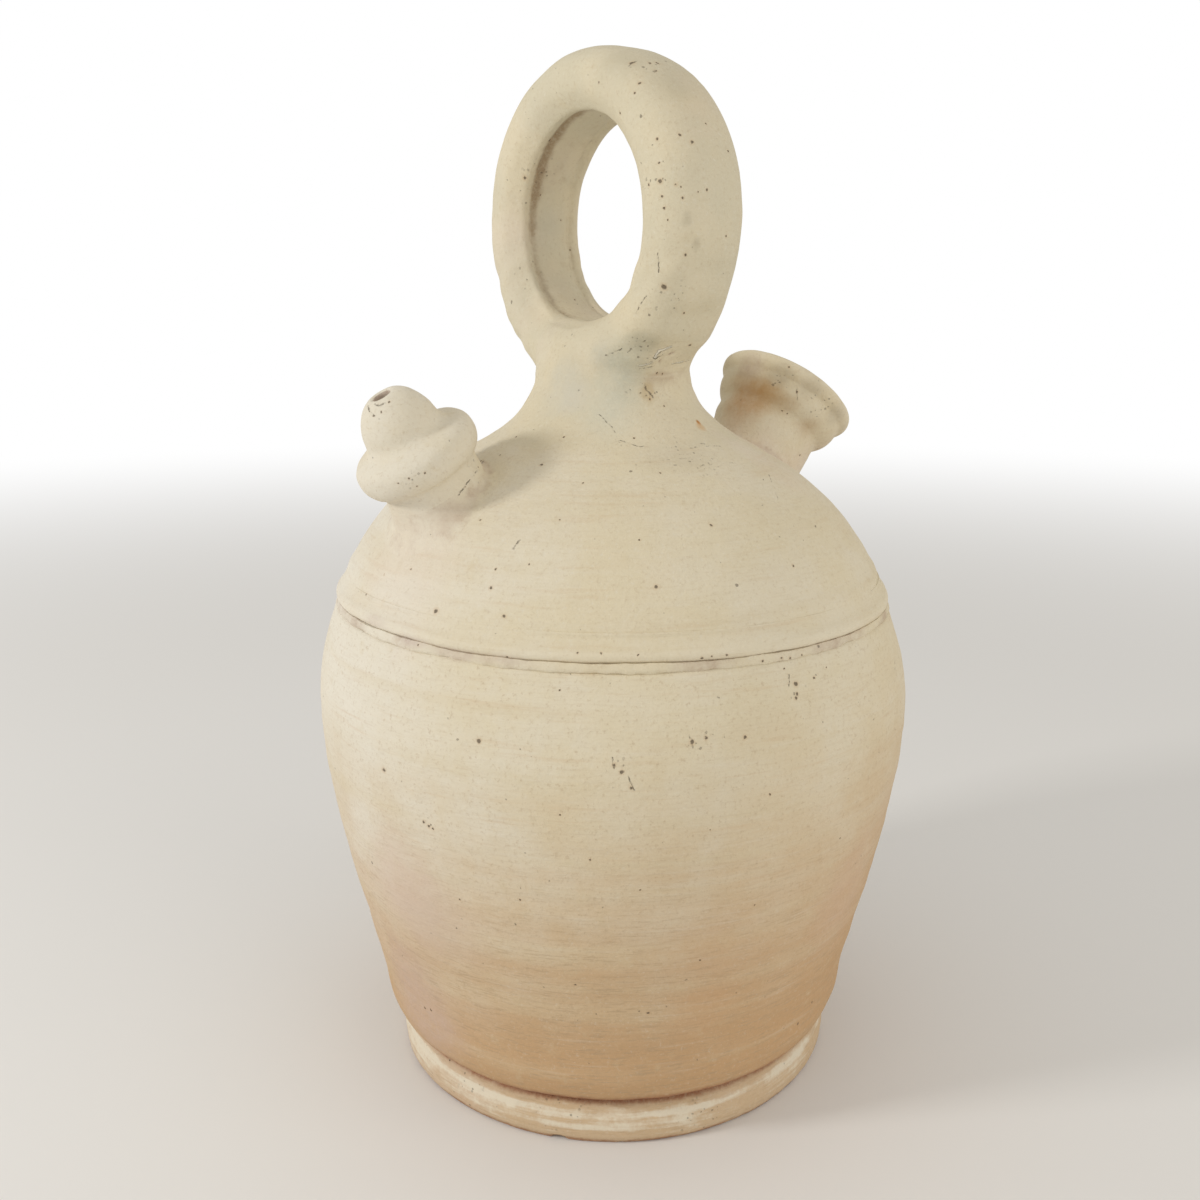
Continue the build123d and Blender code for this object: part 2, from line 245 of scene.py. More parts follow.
def seam_fall(x, y, z):
    """How far the upper half sits below its level at this place."""
    turn = np.arctan2(y, x)
    wobble = 0.30 * np.sin(2 * turn + 0.6) + 0.16 * np.sin(3 * turn + 2.1) + 0.10 * np.sin(7 * turn)
    slope = SEAM_DROP * (x * LOW_SIDE[0] + y * LOW_SIDE[1]) / 100
    return (slope + wobble) * (1 - ease(z, 212, 238))


def body_clay(p):
    x, y, z = p[..., 0], p[..., 1], p[..., 2]
    round_radius = np.interp(z, [256, 259, 264, 269, 272, 278], [28.4, 28.0, 28.3, 29.3, 29.6, 29.6])
    wide = np.interp(z, STEM_SQUEEZE[:, 0], STEM_SQUEEZE[:, 1]) / round_radius
    deep = np.interp(z, STEM_SQUEEZE[:, 0], STEM_SQUEEZE[:, 2]) / round_radius
    off = np.interp(z, STEM_SQUEEZE[:, 0], STEM_SQUEEZE[:, 3])
    squeeze = ease(z, 250, 258)
    wide = 1 + (wide - 1) * squeeze
    deep = 1 + (deep - 1) * squeeze
    radius = np.hypot(x / wide, (y - off * squeeze) / deep)
    return read_table(jug_table, radius, z + seam_fall(x, y, z))


# %% [markdown]
# ## The ring's section
#
# The ring is a thick coil of clay, flattened where the fingers pass, turned about a level
# axis. Its section is a table of its own, read by the distance from that axis, and the
# angle round the ring says how much wider than a circle it is there.

# %% Ring
RING_RADIUS = 57.5
RING_THICKNESS = 22.3
RING_HALF_BREADTH = 17.5
RING_SQUARENESS = 2.5
# How much wider than a circle the ring is, by the angle round it: 0 is the far side and
# 90 the top, in degrees and mm.
RING_SWELL = np.array(
    [(0, 1.0), (45, 0.2), (75, 0.0), (95, 0.0), (118, 0.0), (140, 0.2), (180, 0.9), (225, 2.2),
     (270, 0.0), (315, 2.4), (335, 2.3), (360, 1.0)]
)
LIP_PLACE, LIP_HEIGHT = 12.2, 1.3
CHANNEL_PLACE, CHANNEL_DEPTH = 8.6, 0.7


def ring_section(count=320):
    """The section of the ring: (place along X, distance from the ring's axis)."""
    turn = np.arange(count) * 2 * pi / count
    power = 2 / RING_SQUARENESS
    across = np.sign(np.cos(turn)) * np.abs(np.cos(turn)) ** power * RING_HALF_BREADTH
    out = np.sign(np.sin(turn)) * np.abs(np.sin(turn)) ** power * RING_THICKNESS / 2
    # The inner wall is flat between two soft lips, with a pressed channel beside each lip.
    inner = ease(-out, 2, 9)
    side = np.abs(across)
    out = out + inner * (
        0.5 * (1 - ease(side, 6, 10))
        - LIP_HEIGHT * np.exp(-(((side - LIP_PLACE) / 2.6) ** 2))
        + CHANNEL_DEPTH * np.exp(-(((side - CHANNEL_PLACE) / 1.1) ** 2))
    )
    return np.stack([across, RING_RADIUS - RING_THICKNESS / 2 + out], 1)


ring_table = distance_table(ring_section(), (-30, 20), (30, 75), 0.25)
print("ring table:", ring_table[0].shape, "places")


def ring_clay(p):
    x, y, z = (p[..., i] - RING_MIDDLE[i] for i in range(3))
    turn = np.degrees(np.arctan2(z, y)) % 360
    swell = np.interp(turn, RING_SWELL[:, 0], RING_SWELL[:, 1])
    return read_table(ring_table, x, np.hypot(y, z) - swell * ease(np.hypot(y, z), 30, 56))


# %% [markdown]
# ## Outlines of the spout and the mouth
#
# Both were thrown by themselves, as small turned shapes, and lean outwards. Heights are
# counted along the leaning axis, from the middle of the spout's collar and from the
# mouth's neck, so the same turned tables serve for them too.

# %% Leaning outlines
def leaning(origin, rise, side):
    """Origin and direction of an axis that leans outwards, `side` being 1 or -1 along X."""
    return np.array(origin, float), np.array([side * cos(radians(rise)), 0, sin(radians(rise))])


SPOUT = leaning((-81.0, 0, 235.6), 58.9, -1)
MOUTH = leaning((80.3, 0.5, 236.0), 52.0, 1)
SPOUT_SEAM = -12.5               # where the spout was luted to its stub
MOUTH_SEAM = -12.5
SPOUT_ROOT = 25.0                # how far the smeared roots reach from their axes
MOUTH_ROOT = 26.0


def about_axis(p, axis):
    """Distance from a leaning axis, and height along it."""
    q = p - axis[0]
    along = q @ axis[1]
    away = np.sqrt(np.maximum((q * q).sum(-1) - along**2, 0))
    return away, along


spout_skin = np.vstack(
    [
        [(16.8, SPOUT_SEAM), (16.8, -8.6)],
        smooth_line([(16.9, -7.4), (17.5, -6.3), (19.2, -5.5), (20.8, -3.2), (21.4, 0.3),
                     (20.7, 3.5), (18.8, 5.5), (16.6, 6.5), (14.9, 7.3), (13.8, 8.3)]),
        smooth_line([(13.2, 9.4), (12.9, 11.0), (12.5, 13.2), (11.6, 15.6), (10.2, 18.2),
                     (8.6, 20.4), (6.7, 22.0), (4.8, 22.9), (3.6, 23.0), (2.9, 22.4)]),
    ]
)
mouth_skin = np.vstack(
    [
        [(20.5, MOUTH_SEAM), (20.5, -5.0)],
        smooth_line([(20.4, -3.6), (20.6, -1.6), (21.2, -0.1), (22.3, 1.1), (23.6, 2.6),
                     (24.8, 4.6), (25.5, 6.8), (25.8, 8.8), (26.1, 10.0), (26.9, 10.9),
                     (27.9, 12.3), (28.3, 13.9), (28.0, 15.6), (27.2, 16.6), (26.0, 16.9),
                     (24.8, 16.4)]),
    ]
)
spout_table = distance_table(
    np.vstack([[(0, -60), (16.8, -60)], spout_skin, [(0, 22.2)]]), (0, -45), (45, 40), 0.25
)
mouth_table = distance_table(
    np.vstack([[(0, -60), (20.5, -60)], mouth_skin, [(0, 16.0)]]), (0, -45), (50, 40), 0.25
)


def spout_clay(p):
    away, along = about_axis(p, SPOUT)
    return read_table(spout_table, away, along)


# The mouth bulges a little on one side, most at the neck under its flare.
MOUTH_BULGE_SIDE = np.array(LEFT_OF_VIEW)
MOUTH_BULGE, NECK_BULGE = 0.9, 1.0


def mouth_clay(p):
    away, along = about_axis(p, MOUTH)
    facing = np.clip((p - MOUTH[0]) @ MOUTH_BULGE_SIDE / np.maximum(away, 5), 0, 1) ** 2
    bulge = MOUTH_BULGE * ease(along, -12, -4) + NECK_BULGE * np.exp(-(((along + 2.5) / 5.5) ** 2))
    return read_table(mouth_table, away - bulge * facing, along)


print("spout leans along", SPOUT[1].round(2), "and the mouth along", MOUTH[1].round(2))

# %% [markdown]
# ## One clay
#
# All lumps are joined here. The angle behind the spout is tighter than the one below it,
# because the potter's thumb smoothed the front and the sides and could not reach the back.

# %% All the clay of the upper half
RING_SMEAR = 13.0
MOUTH_SMEAR = 6.0
SPOUT_SMEAR_FRONT = 17.0
SPOUT_SMEAR_BACK = 5.0
SIGHT_START = 230                # mm from the camera, where a walk to the clay begins


def hand_marks(p):
    """How far the hand left the clay off its true outline: never proud of it."""
    slow = 0.26 * lumps(p, 55, 3) + 0.10 * lumps(p, 19, 4) + 0.05 * lumps(p, 8, 5)
    # The stem and the ring's root were squeezed and smeared by hand, and stayed uneven.
    worked = ease(p[..., 2], 238, 256) * (1 - ease(p[..., 2], 292, 312))
    worked = worked * (1 - ease(np.abs(p[..., 0]), 40, 54))
    uneven = np.zeros(worked.shape)
    some = worked > 0
    uneven[some] = lumps(p[some], 11, 6)
    return np.minimum(slow - 0.12 + worked * (0.42 * uneven - 0.2), 0)


def smooth_clay(p):
    body = soft_union(body_clay(p), ring_clay(p), RING_SMEAR)
    back = ease(p[..., 0] - SPOUT[0][0], -4, 16)
    smear = SPOUT_SMEAR_FRONT + (SPOUT_SMEAR_BACK - SPOUT_SMEAR_FRONT) * back
    body = soft_union(body, spout_clay(p), smear)
    body = soft_union(body, mouth_clay(p), MOUTH_SMEAR)
    return body - hand_marks(p)


def pixel_ray(u, v):
    """Start and direction, in mm, of the line of sight through a place in the picture."""
    aim = np.array(CAMERA_AIM) / np.linalg.norm(CAMERA_AIM)
    right = np.cross(aim, [0, 0, 1])
    right /= np.linalg.norm(right)
    up = np.cross(right, aim)
    way = aim * PICTURE + right * (u - AXIS_COLUMN) - up * (v - PICTURE / 2)
    return np.array(CAMERA_SPOT), way / np.linalg.norm(way)


def on_clay(u, v):
    """Walks along a line of sight, never further than the clay is away, until it is met."""
    spot, way = pixel_ray(u, v)
    spot = spot + way * SIGHT_START
    for _ in range(200):
        spot = spot + way * max(0.7 * float(smooth_clay(spot[None])[0]), 0.01)
    return spot


# Folds left where the wet clay was smeared: a line in the picture, height and width in mm.
FOLD_LINES = [
    ((653, 359), (658, 352), 1.7, 1.0), ((658, 352), (673, 345), 1.6, 0.9),
    ((642, 372), (684, 364), 0.7, 1.6), ((648, 295), (636, 313), 0.8, 1.2),
    ((658, 252), (660, 274), 0.6, 1.2), ((598, 350), (632, 339), 0.8, 1.9),
    ((552, 384), (580, 370), 0.6, 1.9), ((540, 300), (556, 322), 0.6, 1.4),
    ((664, 384), (690, 379), 0.5, 1.4), ((610, 365), (640, 352), 0.5, 1.4),
    # Grooves beside the folds have a height below 0.
    ((656, 362), (662, 355), -0.9, 0.9), ((662, 355), (676, 349), -0.9, 0.8),
    ((646, 377), (684, 369), -0.5, 1.1),
]
FOLDS = [(on_clay(*start), on_clay(*end), tall, wide) for start, end, tall, wide in FOLD_LINES]
FOLD_BOX = (
    np.min([np.minimum(a, b) for a, b, _, _ in FOLDS], axis=0) - 4,
    np.max([np.maximum(a, b) for a, b, _, _ in FOLDS], axis=0) + 4,
)
print("folds between", FOLD_BOX[0].round(), FOLD_BOX[1].round())


def fold_height(p):
    """Height of the folds above the smooth clay at each place."""
    flat = p.reshape(-1, 3)
    height = np.zeros(len(flat))
    near = ((flat > FOLD_BOX[0]) & (flat < FOLD_BOX[1])).all(1)
    q = flat[near]
    total = np.zeros(len(q))
    for start, end, tall, wide in FOLDS:
        run = end - start
        t = np.clip((q - start) @ run / (run @ run), 0, 1)
        away = np.linalg.norm(q - start - t[:, None] * run, axis=1)
        shape = tall * (0.4 + 0.6 * np.sin(pi * t)) * np.exp(-((away / wide) ** 2))
        total = np.maximum(total, shape) if tall > 0 else total + shape
    height[near] = total
    return height.reshape(p.shape[:-1])


def clay(p):
    return smooth_clay(p) - fold_height(p)


# %% [markdown]
# ## From distances to a skin
#
# A net of quads is laid through every small cube of space that the skin passes, one
# point to a cube, and each point then slides along the slope of the distance until it
# sits on the clay. Voxel remeshing does the same on a finished mesh, but it cannot slide
# its points onto the true skin afterwards, so fine ribs would turn to steps.

# %% Laying the net
def lay_net(field, low, high, step):
    """Quads round the field's clay in a box, with points about `step` apart."""
    marks = [np.arange(lo, hi + step, step) for lo, hi in zip(low, high)]
    grid = np.stack(np.meshgrid(*marks, indexing="ij"), -1)
    value = np.concatenate([field(part) for part in np.array_split(grid, 8)])
    del grid
    solid = value < 0
    cells = [n - 1 for n in value.shape]
    corners = [(a, b, c) for a in (0, 1) for b in (0, 1) for c in (0, 1)]
    count = np.zeros(cells, np.int8)
    for a, b, c in corners:
        count += solid[a : a + cells[0], b : b + cells[1], c : c + cells[2]]
    mixed = (count > 0) & (count < 8)
    number = np.full(cells, -1)
    number[mixed] = np.arange(mixed.sum())
    at = np.argwhere(mixed)
    total = np.zeros((len(at), 3))
    hits = np.zeros(len(at))
    for i, one in enumerate(corners):
        for other in corners[i + 1 :]:
            if sum(abs(a - b) for a, b in zip(one, other)) != 1:
                continue
            v0 = value[tuple((at + one).T)]
            v1 = value[tuple((at + other).T)]
            cross = (v0 < 0) != (v1 < 0)
            t = np.where(cross, v0 / np.where(cross, v0 - v1, 1), 0)[:, None]
            spot = np.array(one) + t * (np.array(other) - np.array(one))
            total += np.where(cross[:, None], spot, 0)
            hits += cross
    points = (at + total / hits[:, None]) * step + np.array(low)
    quads = []
    for axis in range(3):
        u, v = (axis + 1) % 3, (axis + 2) % 3
        first = np.take(solid, range(value.shape[axis] - 1), axis)
        last = np.take(solid, range(1, value.shape[axis]), axis)
        edges = np.argwhere(first != last)
        inner = (edges[:, u] > 0) & (edges[:, v] > 0)
        edges = edges[inner & (edges[:, u] < cells[u]) & (edges[:, v] < cells[v])]
        ring = []
        for du, dv in ((1, 1), (0, 1), (0, 0), (1, 0)):
            cell = edges.copy()
            cell[:, u] -= du
            cell[:, v] -= dv
            ring.append(number[tuple(cell.T)])
        quad = np.stack(ring, 1)
        outward = first[tuple(edges.T)]
        quads.append(np.where(outward[:, None], quad, quad[:, ::-1]))
    return points, np.vstack(quads)


def slope_of(field, p, reach=0.06):
    """Direction in which the distance grows, with its steepness."""
    slope = np.zeros_like(p)
    for axis in range(3):
        shift = np.zeros(3)
        shift[axis] = reach
        slope[:, axis] = (field(p + shift) - field(p - shift)) / (2 * reach)
    return slope


def settle(field, p, rounds=3):
    """Slides points down the slope of the distance until they lie on the clay."""
    for _ in range(rounds):
        slope = slope_of(field, p)
        steep = np.maximum((slope**2).sum(1), 0.05)
        p = p - slope * (np.clip(field(p), -2, 2) / steep)[:, None]
    return p


# %% [markdown]
# ## Cutting along the seams
#
# The real jug is several pieces luted together, so the one skin is cut where those pieces
# meet. Each cut follows a seam height: positive on the side that stays. Triangles that
# cross it are split exactly on the line, so that two neighbours share the same edge.

# %% Cutting
SNAP = 0.12


def quads_to_triangles(quads):
    return np.vstack([quads[:, [0, 1, 2]], quads[:, [0, 2, 3]]])


def keep_used(points, faces):
    """Drops the points that no face uses."""
    used = np.unique(faces)
    number = np.full(len(points), -1)
    number[used] = np.arange(len(used))
    return points[used], number[faces]


def cut(points, faces, height, field):
    """Keeps the part of a triangle skin where height(points) is above 0."""
    h = height(points)
    edge = np.linalg.norm(points[faces[:, 0]] - points[faces[:, 1]], axis=1).mean()
    near = np.abs(h) < SNAP * edge
    if near.any():
        points = points.copy()
        points[near] = onto_seam(points[near], height, field)
        h = np.where(near, 0, h)
    above = h >= 0
    kept = above[faces].sum(1)
    whole = faces[kept == 3]
    new_faces = [whole]
    crossing = faces[(kept == 1) | (kept == 2)]
    single = np.where(above[crossing].sum(1) == 1, 1, 0)
    # Turn each crossing triangle so that its lone point comes first.
    lone = np.where(single[:, None] == 1, above[crossing], ~above[crossing])
    turn = lone.argmax(1)
    rows = np.arange(len(crossing))
    a, b, c = (crossing[rows, (turn + k) % 3] for k in range(3))
    ends = np.sort(np.vstack([np.stack([a, b], 1), np.stack([a, c], 1)]), 1)
    unique, number = np.unique(ends, axis=0, return_inverse=True)
    number = number.reshape(-1)
    h0, h1 = h[unique[:, 0]], h[unique[:, 1]]
    t = (h0 / (h0 - h1))[:, None]
    fresh = points[unique[:, 0]] * (1 - t) + points[unique[:, 1]] * t
    fresh = onto_seam(fresh, height, field)
    ab = len(points) + number[: len(crossing)]
    ac = len(points) + number[len(crossing) :]
    points = np.vstack([points, fresh])
    one = single == 1
    new_faces.append(np.stack([a, ab, ac], 1)[one])
    new_faces.append(np.stack([ab, b, c], 1)[~one])
    new_faces.append(np.stack([ab, c, ac], 1)[~one])
    faces = np.vstack(new_faces)
    return keep_used(points, faces)


def onto_seam(p, height, field, rounds=3):
    """Moves points to where the seam height and the clay's distance are both 0."""
    for _ in range(rounds):
        gh = slope_of(height, p)
        p = p - gh * (height(p) / np.maximum((gh**2).sum(1), 1e-6))[:, None]
        gf = slope_of(field, p)
        gh = slope_of(height, p)
        gf -= gh * ((gf * gh).sum(1) / np.maximum((gh**2).sum(1), 1e-6))[:, None]
        p = p - gf * (field(p) / np.maximum((gf**2).sum(1), 0.05))[:, None]
    gh = slope_of(height, p)
    return p - gh * (height(p) / np.maximum((gh**2).sum(1), 1e-6))[:, None]


def main_island(points, faces):
    """Keeps the largest connected part, so that no crumb is left behind a cut."""
    label = np.arange(len(points))
    while True:
        low = label[faces].min(1)
        fresh = label.copy()
        for k in range(3):
            np.minimum.at(fresh, faces[:, k], low)
        fresh = fresh[fresh]
        if (fresh == label).all():
            break
        label = fresh
    names, sizes = np.unique(label[faces[:, 0]], return_counts=True)
    keep = label[faces[:, 0]] == names[sizes.argmax()]
    return keep_used(points, faces[keep])


# %% [markdown]
# ## Where the seams lie
#
# A seam is a rule that gives a height above it for any place. Most are level or stand
# round a leaning axis, so each kind is written once and the jug's own seams are made
# from it. The notch under the dome tilts with the upper half.

# %% Seam heights
CROWN_HEIGHT = 236.2
WAIST_HEIGHT = 258.0
RING_FOOT_HEIGHT = 271.0
NOTCH_HEIGHT = 188.2


def above_level(level):
    return lambda p: p[..., 2] - level


def outside_root(axis, reach):
    return lambda p: about_axis(p, axis)[0] - reach


def above_seam(axis, seam):
    return lambda p: about_axis(p, axis)[1] - seam


def above_notch(p):
    return p[..., 2] + seam_fall(p[..., 0], p[..., 1], p[..., 2]) - NOTCH_HEIGHT


def below(height):
    """The same seam, keeping the other side."""
    return lambda p: -height(p)


above_crown = above_level(CROWN_HEIGHT)
above_waist = above_level(WAIST_HEIGHT)
above_ring_foot = above_level(RING_FOOT_HEIGHT)
outside_spout_root = outside_root(SPOUT, SPOUT_ROOT)
outside_mouth_root = outside_root(MOUTH, MOUTH_ROOT)
above_spout_seam = above_seam(SPOUT, SPOUT_SEAM)
above_mouth_seam = above_seam(MOUTH, MOUTH_SEAM)
print("level seams at", NOTCH_HEIGHT, CROWN_HEIGHT, WAIST_HEIGHT, RING_FOOT_HEIGHT)

# %% [markdown]
# ## Making a piece
#
# A cut skin is open at its seams. A thin walled piece gets an inner skin, each point moved
# inwards along the slope of the distance, and a band of faces that closes each rim.
# Solidify does this too, but it goes by the mesh's own normals, which are unsteady where
# a cut leaves slivers. Sharp edges are marked by angle, so that rims do not shade round.

# %% Pieces from nets
RIM_ANGLE = radians(48)


def make_object(name, points, faces):
    """A Blender object from points in mm and faces."""
    mesh = bpy.data.meshes.new(name)
    corners = [tuple(face) for face in np.asarray(faces).tolist()]
    mesh.from_pydata((np.asarray(points) * MM).tolist(), [], corners)
    mesh.validate()
    mesh.polygons.foreach_set("use_smooth", np.ones(len(mesh.polygons), bool))
    piece = bpy.data.objects.new(name, mesh)
    bpy.context.collection.objects.link(piece)
    return piece


def weld(points, faces, gap=0.03):
    """Merges points closer than `gap` mm and drops the faces that vanish."""
    spots = np.round(points / gap).astype(int)
    _, first, number = np.unique(spots, axis=0, return_index=True, return_inverse=True)
    faces = number.reshape(-1)[faces]
    a, b, c = faces.T
    whole = (a != b) & (b != c) & (c != a)
    return keep_used(points[first], faces[whole])


def open_edges(faces):
    """The edges that only one face uses, in that face's direction."""
    edges = np.vstack([faces[:, [0, 1]], faces[:, [1, 2]], faces[:, [2, 0]]])
    _, inverse, count = np.unique(np.sort(edges, 1), axis=0, return_inverse=True, return_counts=True)
    return edges[count[inverse.reshape(-1)] == 1]


def give_wall(points, faces, thickness, field):
    """Adds an inner skin and closes the rims."""
    slope = slope_of(field, points, 0.4)
    inner = points - slope / np.linalg.norm(slope, axis=1)[:, None] * thickness
    rim = open_edges(faces)
    far = rim + len(points)
    band = [np.stack([rim[:, 1], rim[:, 0], far[:, 0]], 1), np.stack([rim[:, 1], far[:, 0], far[:, 1]], 1)]
    return np.vstack([points, inner]), np.vstack([faces, faces[:, ::-1] + len(points), *band])


def finish_mesh(piece):
    piece.data.set_sharp_from_angle(angle=RIM_ANGLE)
    print(f"{piece.name}: {len(piece.data.polygons)} faces")
    return piece


def cut_skin(low, high, step, seams):
    """The clay's skin in a box: laid, settled and cut at its seams."""
    points, quads = lay_net(clay, low, high, step)
    points, faces = settle(clay, points), quads_to_triangles(quads)
    for seam in seams:
        points, faces = cut(points, faces, seam, clay)
    return main_island(*weld(points, faces))


def skin_piece(name, low, high, step, seams, wall):
    """A thin walled piece of the clay."""
    points, faces = cut_skin(low, high, step, seams)
    return make_object(name, *give_wall(points, faces, wall, clay))


# %% [markdown]
# ## Turned pieces
#
# The foot, the belly, the spout and the mouth are plain turned shapes, so their skins are
# grids that follow a closed outline round the wheel. Rows are close where the outline is
# tight. Each point is pushed along its own outward direction by the hand marks.

# %% Turned pieces
def outline_normals(line):
    """Directions that point out of a closed outline, to the right of its run."""
    run = np.roll(line, -1, axis=0) - np.roll(line, 1, axis=0)
    out = np.stack([run[:, 1], -run[:, 0]], 1)
    return out / np.maximum(np.linalg.norm(out, axis=1), 1e-9)[:, None]


def axis_frame(axis):
    """Two directions square to an axis, to turn an outline about it."""
    side = np.cross([0.0, 1.0, 0.0], axis[1])
    side /= np.linalg.norm(side)
    return side, np.cross(axis[1], side)


UPRIGHT = (np.zeros(3), np.array([0.0, 0.0, 1.0]))


def turn_outline(line, count, axis=UPRIGHT):
    """Points and outward directions of an outline turned about an axis, row by row."""
    side, back = axis_frame(axis)
    angle = np.arange(count) * 2 * pi / count
    radial = np.cos(angle)[:, None] * side + np.sin(angle)[:, None] * back
    points = axis[0] + line[:, None, :1] * radial + line[:, None, 1:] * axis[1]
    out = outline_normals(line)
    normals = out[:, None, :1] * radial + out[:, None, 1:] * axis[1]
    return points, normals


def ring_faces(rows, count):
    """Quads between neighbouring rows of a turned grid."""
    r, c = (v.ravel() for v in np.meshgrid(np.arange(rows), np.arange(count), indexing="ij"))
    r2, c2 = (r + 1) % rows, (c + 1) % count
    return np.stack([r * count + c, r * count + c2, r2 * count + c2, r2 * count + c], 1)


def settle_along(field, points, normals, rounds=4, reach=0.05):
    """Slides points along fixed directions until they lie on the clay."""
    for _ in range(rounds):
        here = field(points)
        steep = (field(points + normals * reach) - here) / reach
        steep = np.where(np.abs(steep) < 0.2, 1, steep)
        points = points - normals * np.clip(here / steep, -1, 1)[..., None]
    return points


# %% [markdown]
# ## The foot
#
# The foot was turned on the wheel. Its flange stands out like the edge of a thick coin
# that years of sliding about have chipped and worn chalky white, and the side towards the
# lamp is painted paler still: painted light. The chip at the front and the small bites
# are pressed into the grid itself, so they show in the outline too.

# %% Foot ring
FOOT_COLUMNS = 640
FOOT_SKIN = 79                   # the foot's worn skin lies outside this radius, in mm
BITES, BITE_RADIUS = 9, 83
SIGHT_STEPS = np.arange(250, 620, 0.25)[:, None]


def bite(p, centre, size, depth):
    """A small soft hollow: `depth` at its centre and nothing beyond `size`."""
    away = np.linalg.norm((p - np.array(centre)) / np.array(size), axis=-1)
    return depth * (1 - ease(away, 0.35, 1))


def on_turned(u, v, line):
    """Where the line of sight through (u, v) first meets a turned outline."""
    start, way = pixel_ray(u, v)
    spots = start + SIGHT_STEPS * way
    radius = np.interp(spots[:, 2], line[:, 1], line[:, 0])
    hit = np.argmax(np.hypot(spots[:, 0], spots[:, 1]) < radius)
    return spots[hit]


chip_spot = on_turned(559, 1138, foot_line)
print("chip in the foot at", chip_spot.round(1))


def turned_piece(name, line, count, push=None, axis=UPRIGHT):
    """A closed turned piece. `push` may move its points, given points and normals."""
    points, normals = turn_outline(line, count, axis)
    if push:
        points = push(points, normals)
    return make_object(name, points.reshape(-1, 3), ring_faces(len(line), count))


foot_inside = [
    (75.4, 16.4), (75.4, 11.0), (72.0, 11.0), (72.0, 5.0), (68.0, 5.0), (68.0, 0.0), (75.0, 0.0)
]
foot_outline = np.vstack([even_steps(foot_line, 0.6), foot_inside])


def wear_foot(points, normals):
    """Hand marks, a ragged worn edge, the chip and a few bites along the ground."""
    x, y, z = points[..., 0], points[..., 1], points[..., 2]
    outside = np.hypot(x, y) > FOOT_SKIN
    ragged = 0.28 * lumps(points, 9, 11) + 0.16 * lumps(points, 3.4, 12)
    edge = np.exp(-(((z - 11.5) / 2.2) ** 2)) + 0.6 * np.exp(-((z / 1.6) ** 2))
    push = hand_marks(points) + np.minimum(ragged - 0.15, 0) * edge
    push = push - bite(points, chip_spot, (3.4, 3.4, 2.0), 2.6)
    for n in range(BITES):
        draw = np.random.default_rng(40 + n)
        turn, size = draw.uniform(0, 2 * pi), draw.uniform(1.2, 2.6)
        spot = (BITE_RADIUS * cos(turn), BITE_RADIUS * sin(turn), draw.uniform(0, 1.2))
        push = push - bite(points, spot, (size, size, size * 0.7), 0.7)
    return points + normals * np.where(outside, push, 0)[..., None] * [1, 1, 0.3]


foot = turned_piece("foot_ring_skin", foot_outline, FOOT_COLUMNS, wear_foot)
finish_mesh(foot)

# %% [markdown]
# ## The belly
#
# The lower pot carries the faint lines of the throwing and of the wet sponge that wiped
# it. They are at most about a quarter of a millimetre high, yet light from the side finds
# them, so the deeper ones are in the grid and the finer ones are left to the bump.

# %% Belly wall
BELLY_COLUMNS = 560
LINE_GAPS = ((23.0, 0.10), (13.5, 0.07), (7.7, 0.045), (4.3, 0.03))   # gap and height in mm
belly_inside = smooth_line(
    [(95.2, 184.5), (97.4, 175.0), (102.2, 160.0), (104.5, 139.0), (100.1, 100.0),
     (91.4, 60.0), (83.2, 26.0), (79.6, 20.6), (76.2, 16.4), (72.0, 11.0)], 3
)
belly_outline = np.vstack(
    [even_steps(belly_line, 1.15), [(98.6, 177.3), (98.6, 184.5)], belly_inside,
     [(75.4, 11.0), (75.4, 16.4)]]
)


def throwing_lines(p):
    """Faint level rings left by the fingers, stronger in some places than in others."""
    turn = np.arctan2(p[..., 1], p[..., 0])
    height = p[..., 2] + 0.5 * np.sin(turn + 1.0)
    lines = 0
    for n, (gap, tall) in enumerate(LINE_GAPS):
        lines = lines + tall * np.sin(2 * pi * height / gap + 1.7 * n)
    return lines * (0.55 + 0.45 * lumps(p * [1, 1, 2.5], 90, 21))


def throw_belly(points, normals):
    x, y, z = points[..., 0], points[..., 1], points[..., 2]
    push = hand_marks(points) + np.minimum(throwing_lines(points) - 0.12, 0)
    outer = np.hypot(x, y) > np.interp(z, belly_line[:, 1], belly_line[:, 0]) - 1.5
    points = points + normals * np.where(outer, push, 0)[..., None]
    points[..., 2] -= seam_fall(x, y, z) * ease(z, 120, 172)
    return points


belly = turned_piece("belly_wall_skin", belly_outline, BELLY_COLUMNS, throw_belly)
finish_mesh(belly)

# %% [markdown]
# ## The shoulder seam
#
# The upper half overhangs the belly by a soft lip. Under it runs a shallow channel that
# was filled with slip and has gathered dirt since; it is painted darker, dirt and the
# shade under the lip together. The lip is turned as a ring of its own and the rest of
# the dome is cut from the net, meeting it in the fine notch.

# %% Slip and lip
LIP_COLUMNS = 640
slip_outline = np.array(
    [(98.6, 176.4), (101.4, 176.3), (102.3, 176.6), (102.6, 177.3), (102.5, 178.1),
     (102.3, 178.9), (101.9, 179.7), (98.6, 179.9)]
)
lip_outer = dome_line[dome_line[:, 1] < NOTCH_HEIGHT - 0.01]
lip_outline = np.vstack(
    [[(98.6, 179.6)], even_steps(lip_outer, 0.45),
     [(98.4, NOTCH_HEIGHT), (92.4, NOTCH_HEIGHT), (92.6, 184.7), (95.2, 184.7), (98.6, 184.7)]]
)


def tilt_ring(points, normals):
    x, y, z = points[..., 0], points[..., 1], points[..., 2]
    points = points + normals * (hand_marks(points) * (np.hypot(x, y) > 98.7))[..., None]
    points[..., 2] -= seam_fall(x, y, z)
    return points


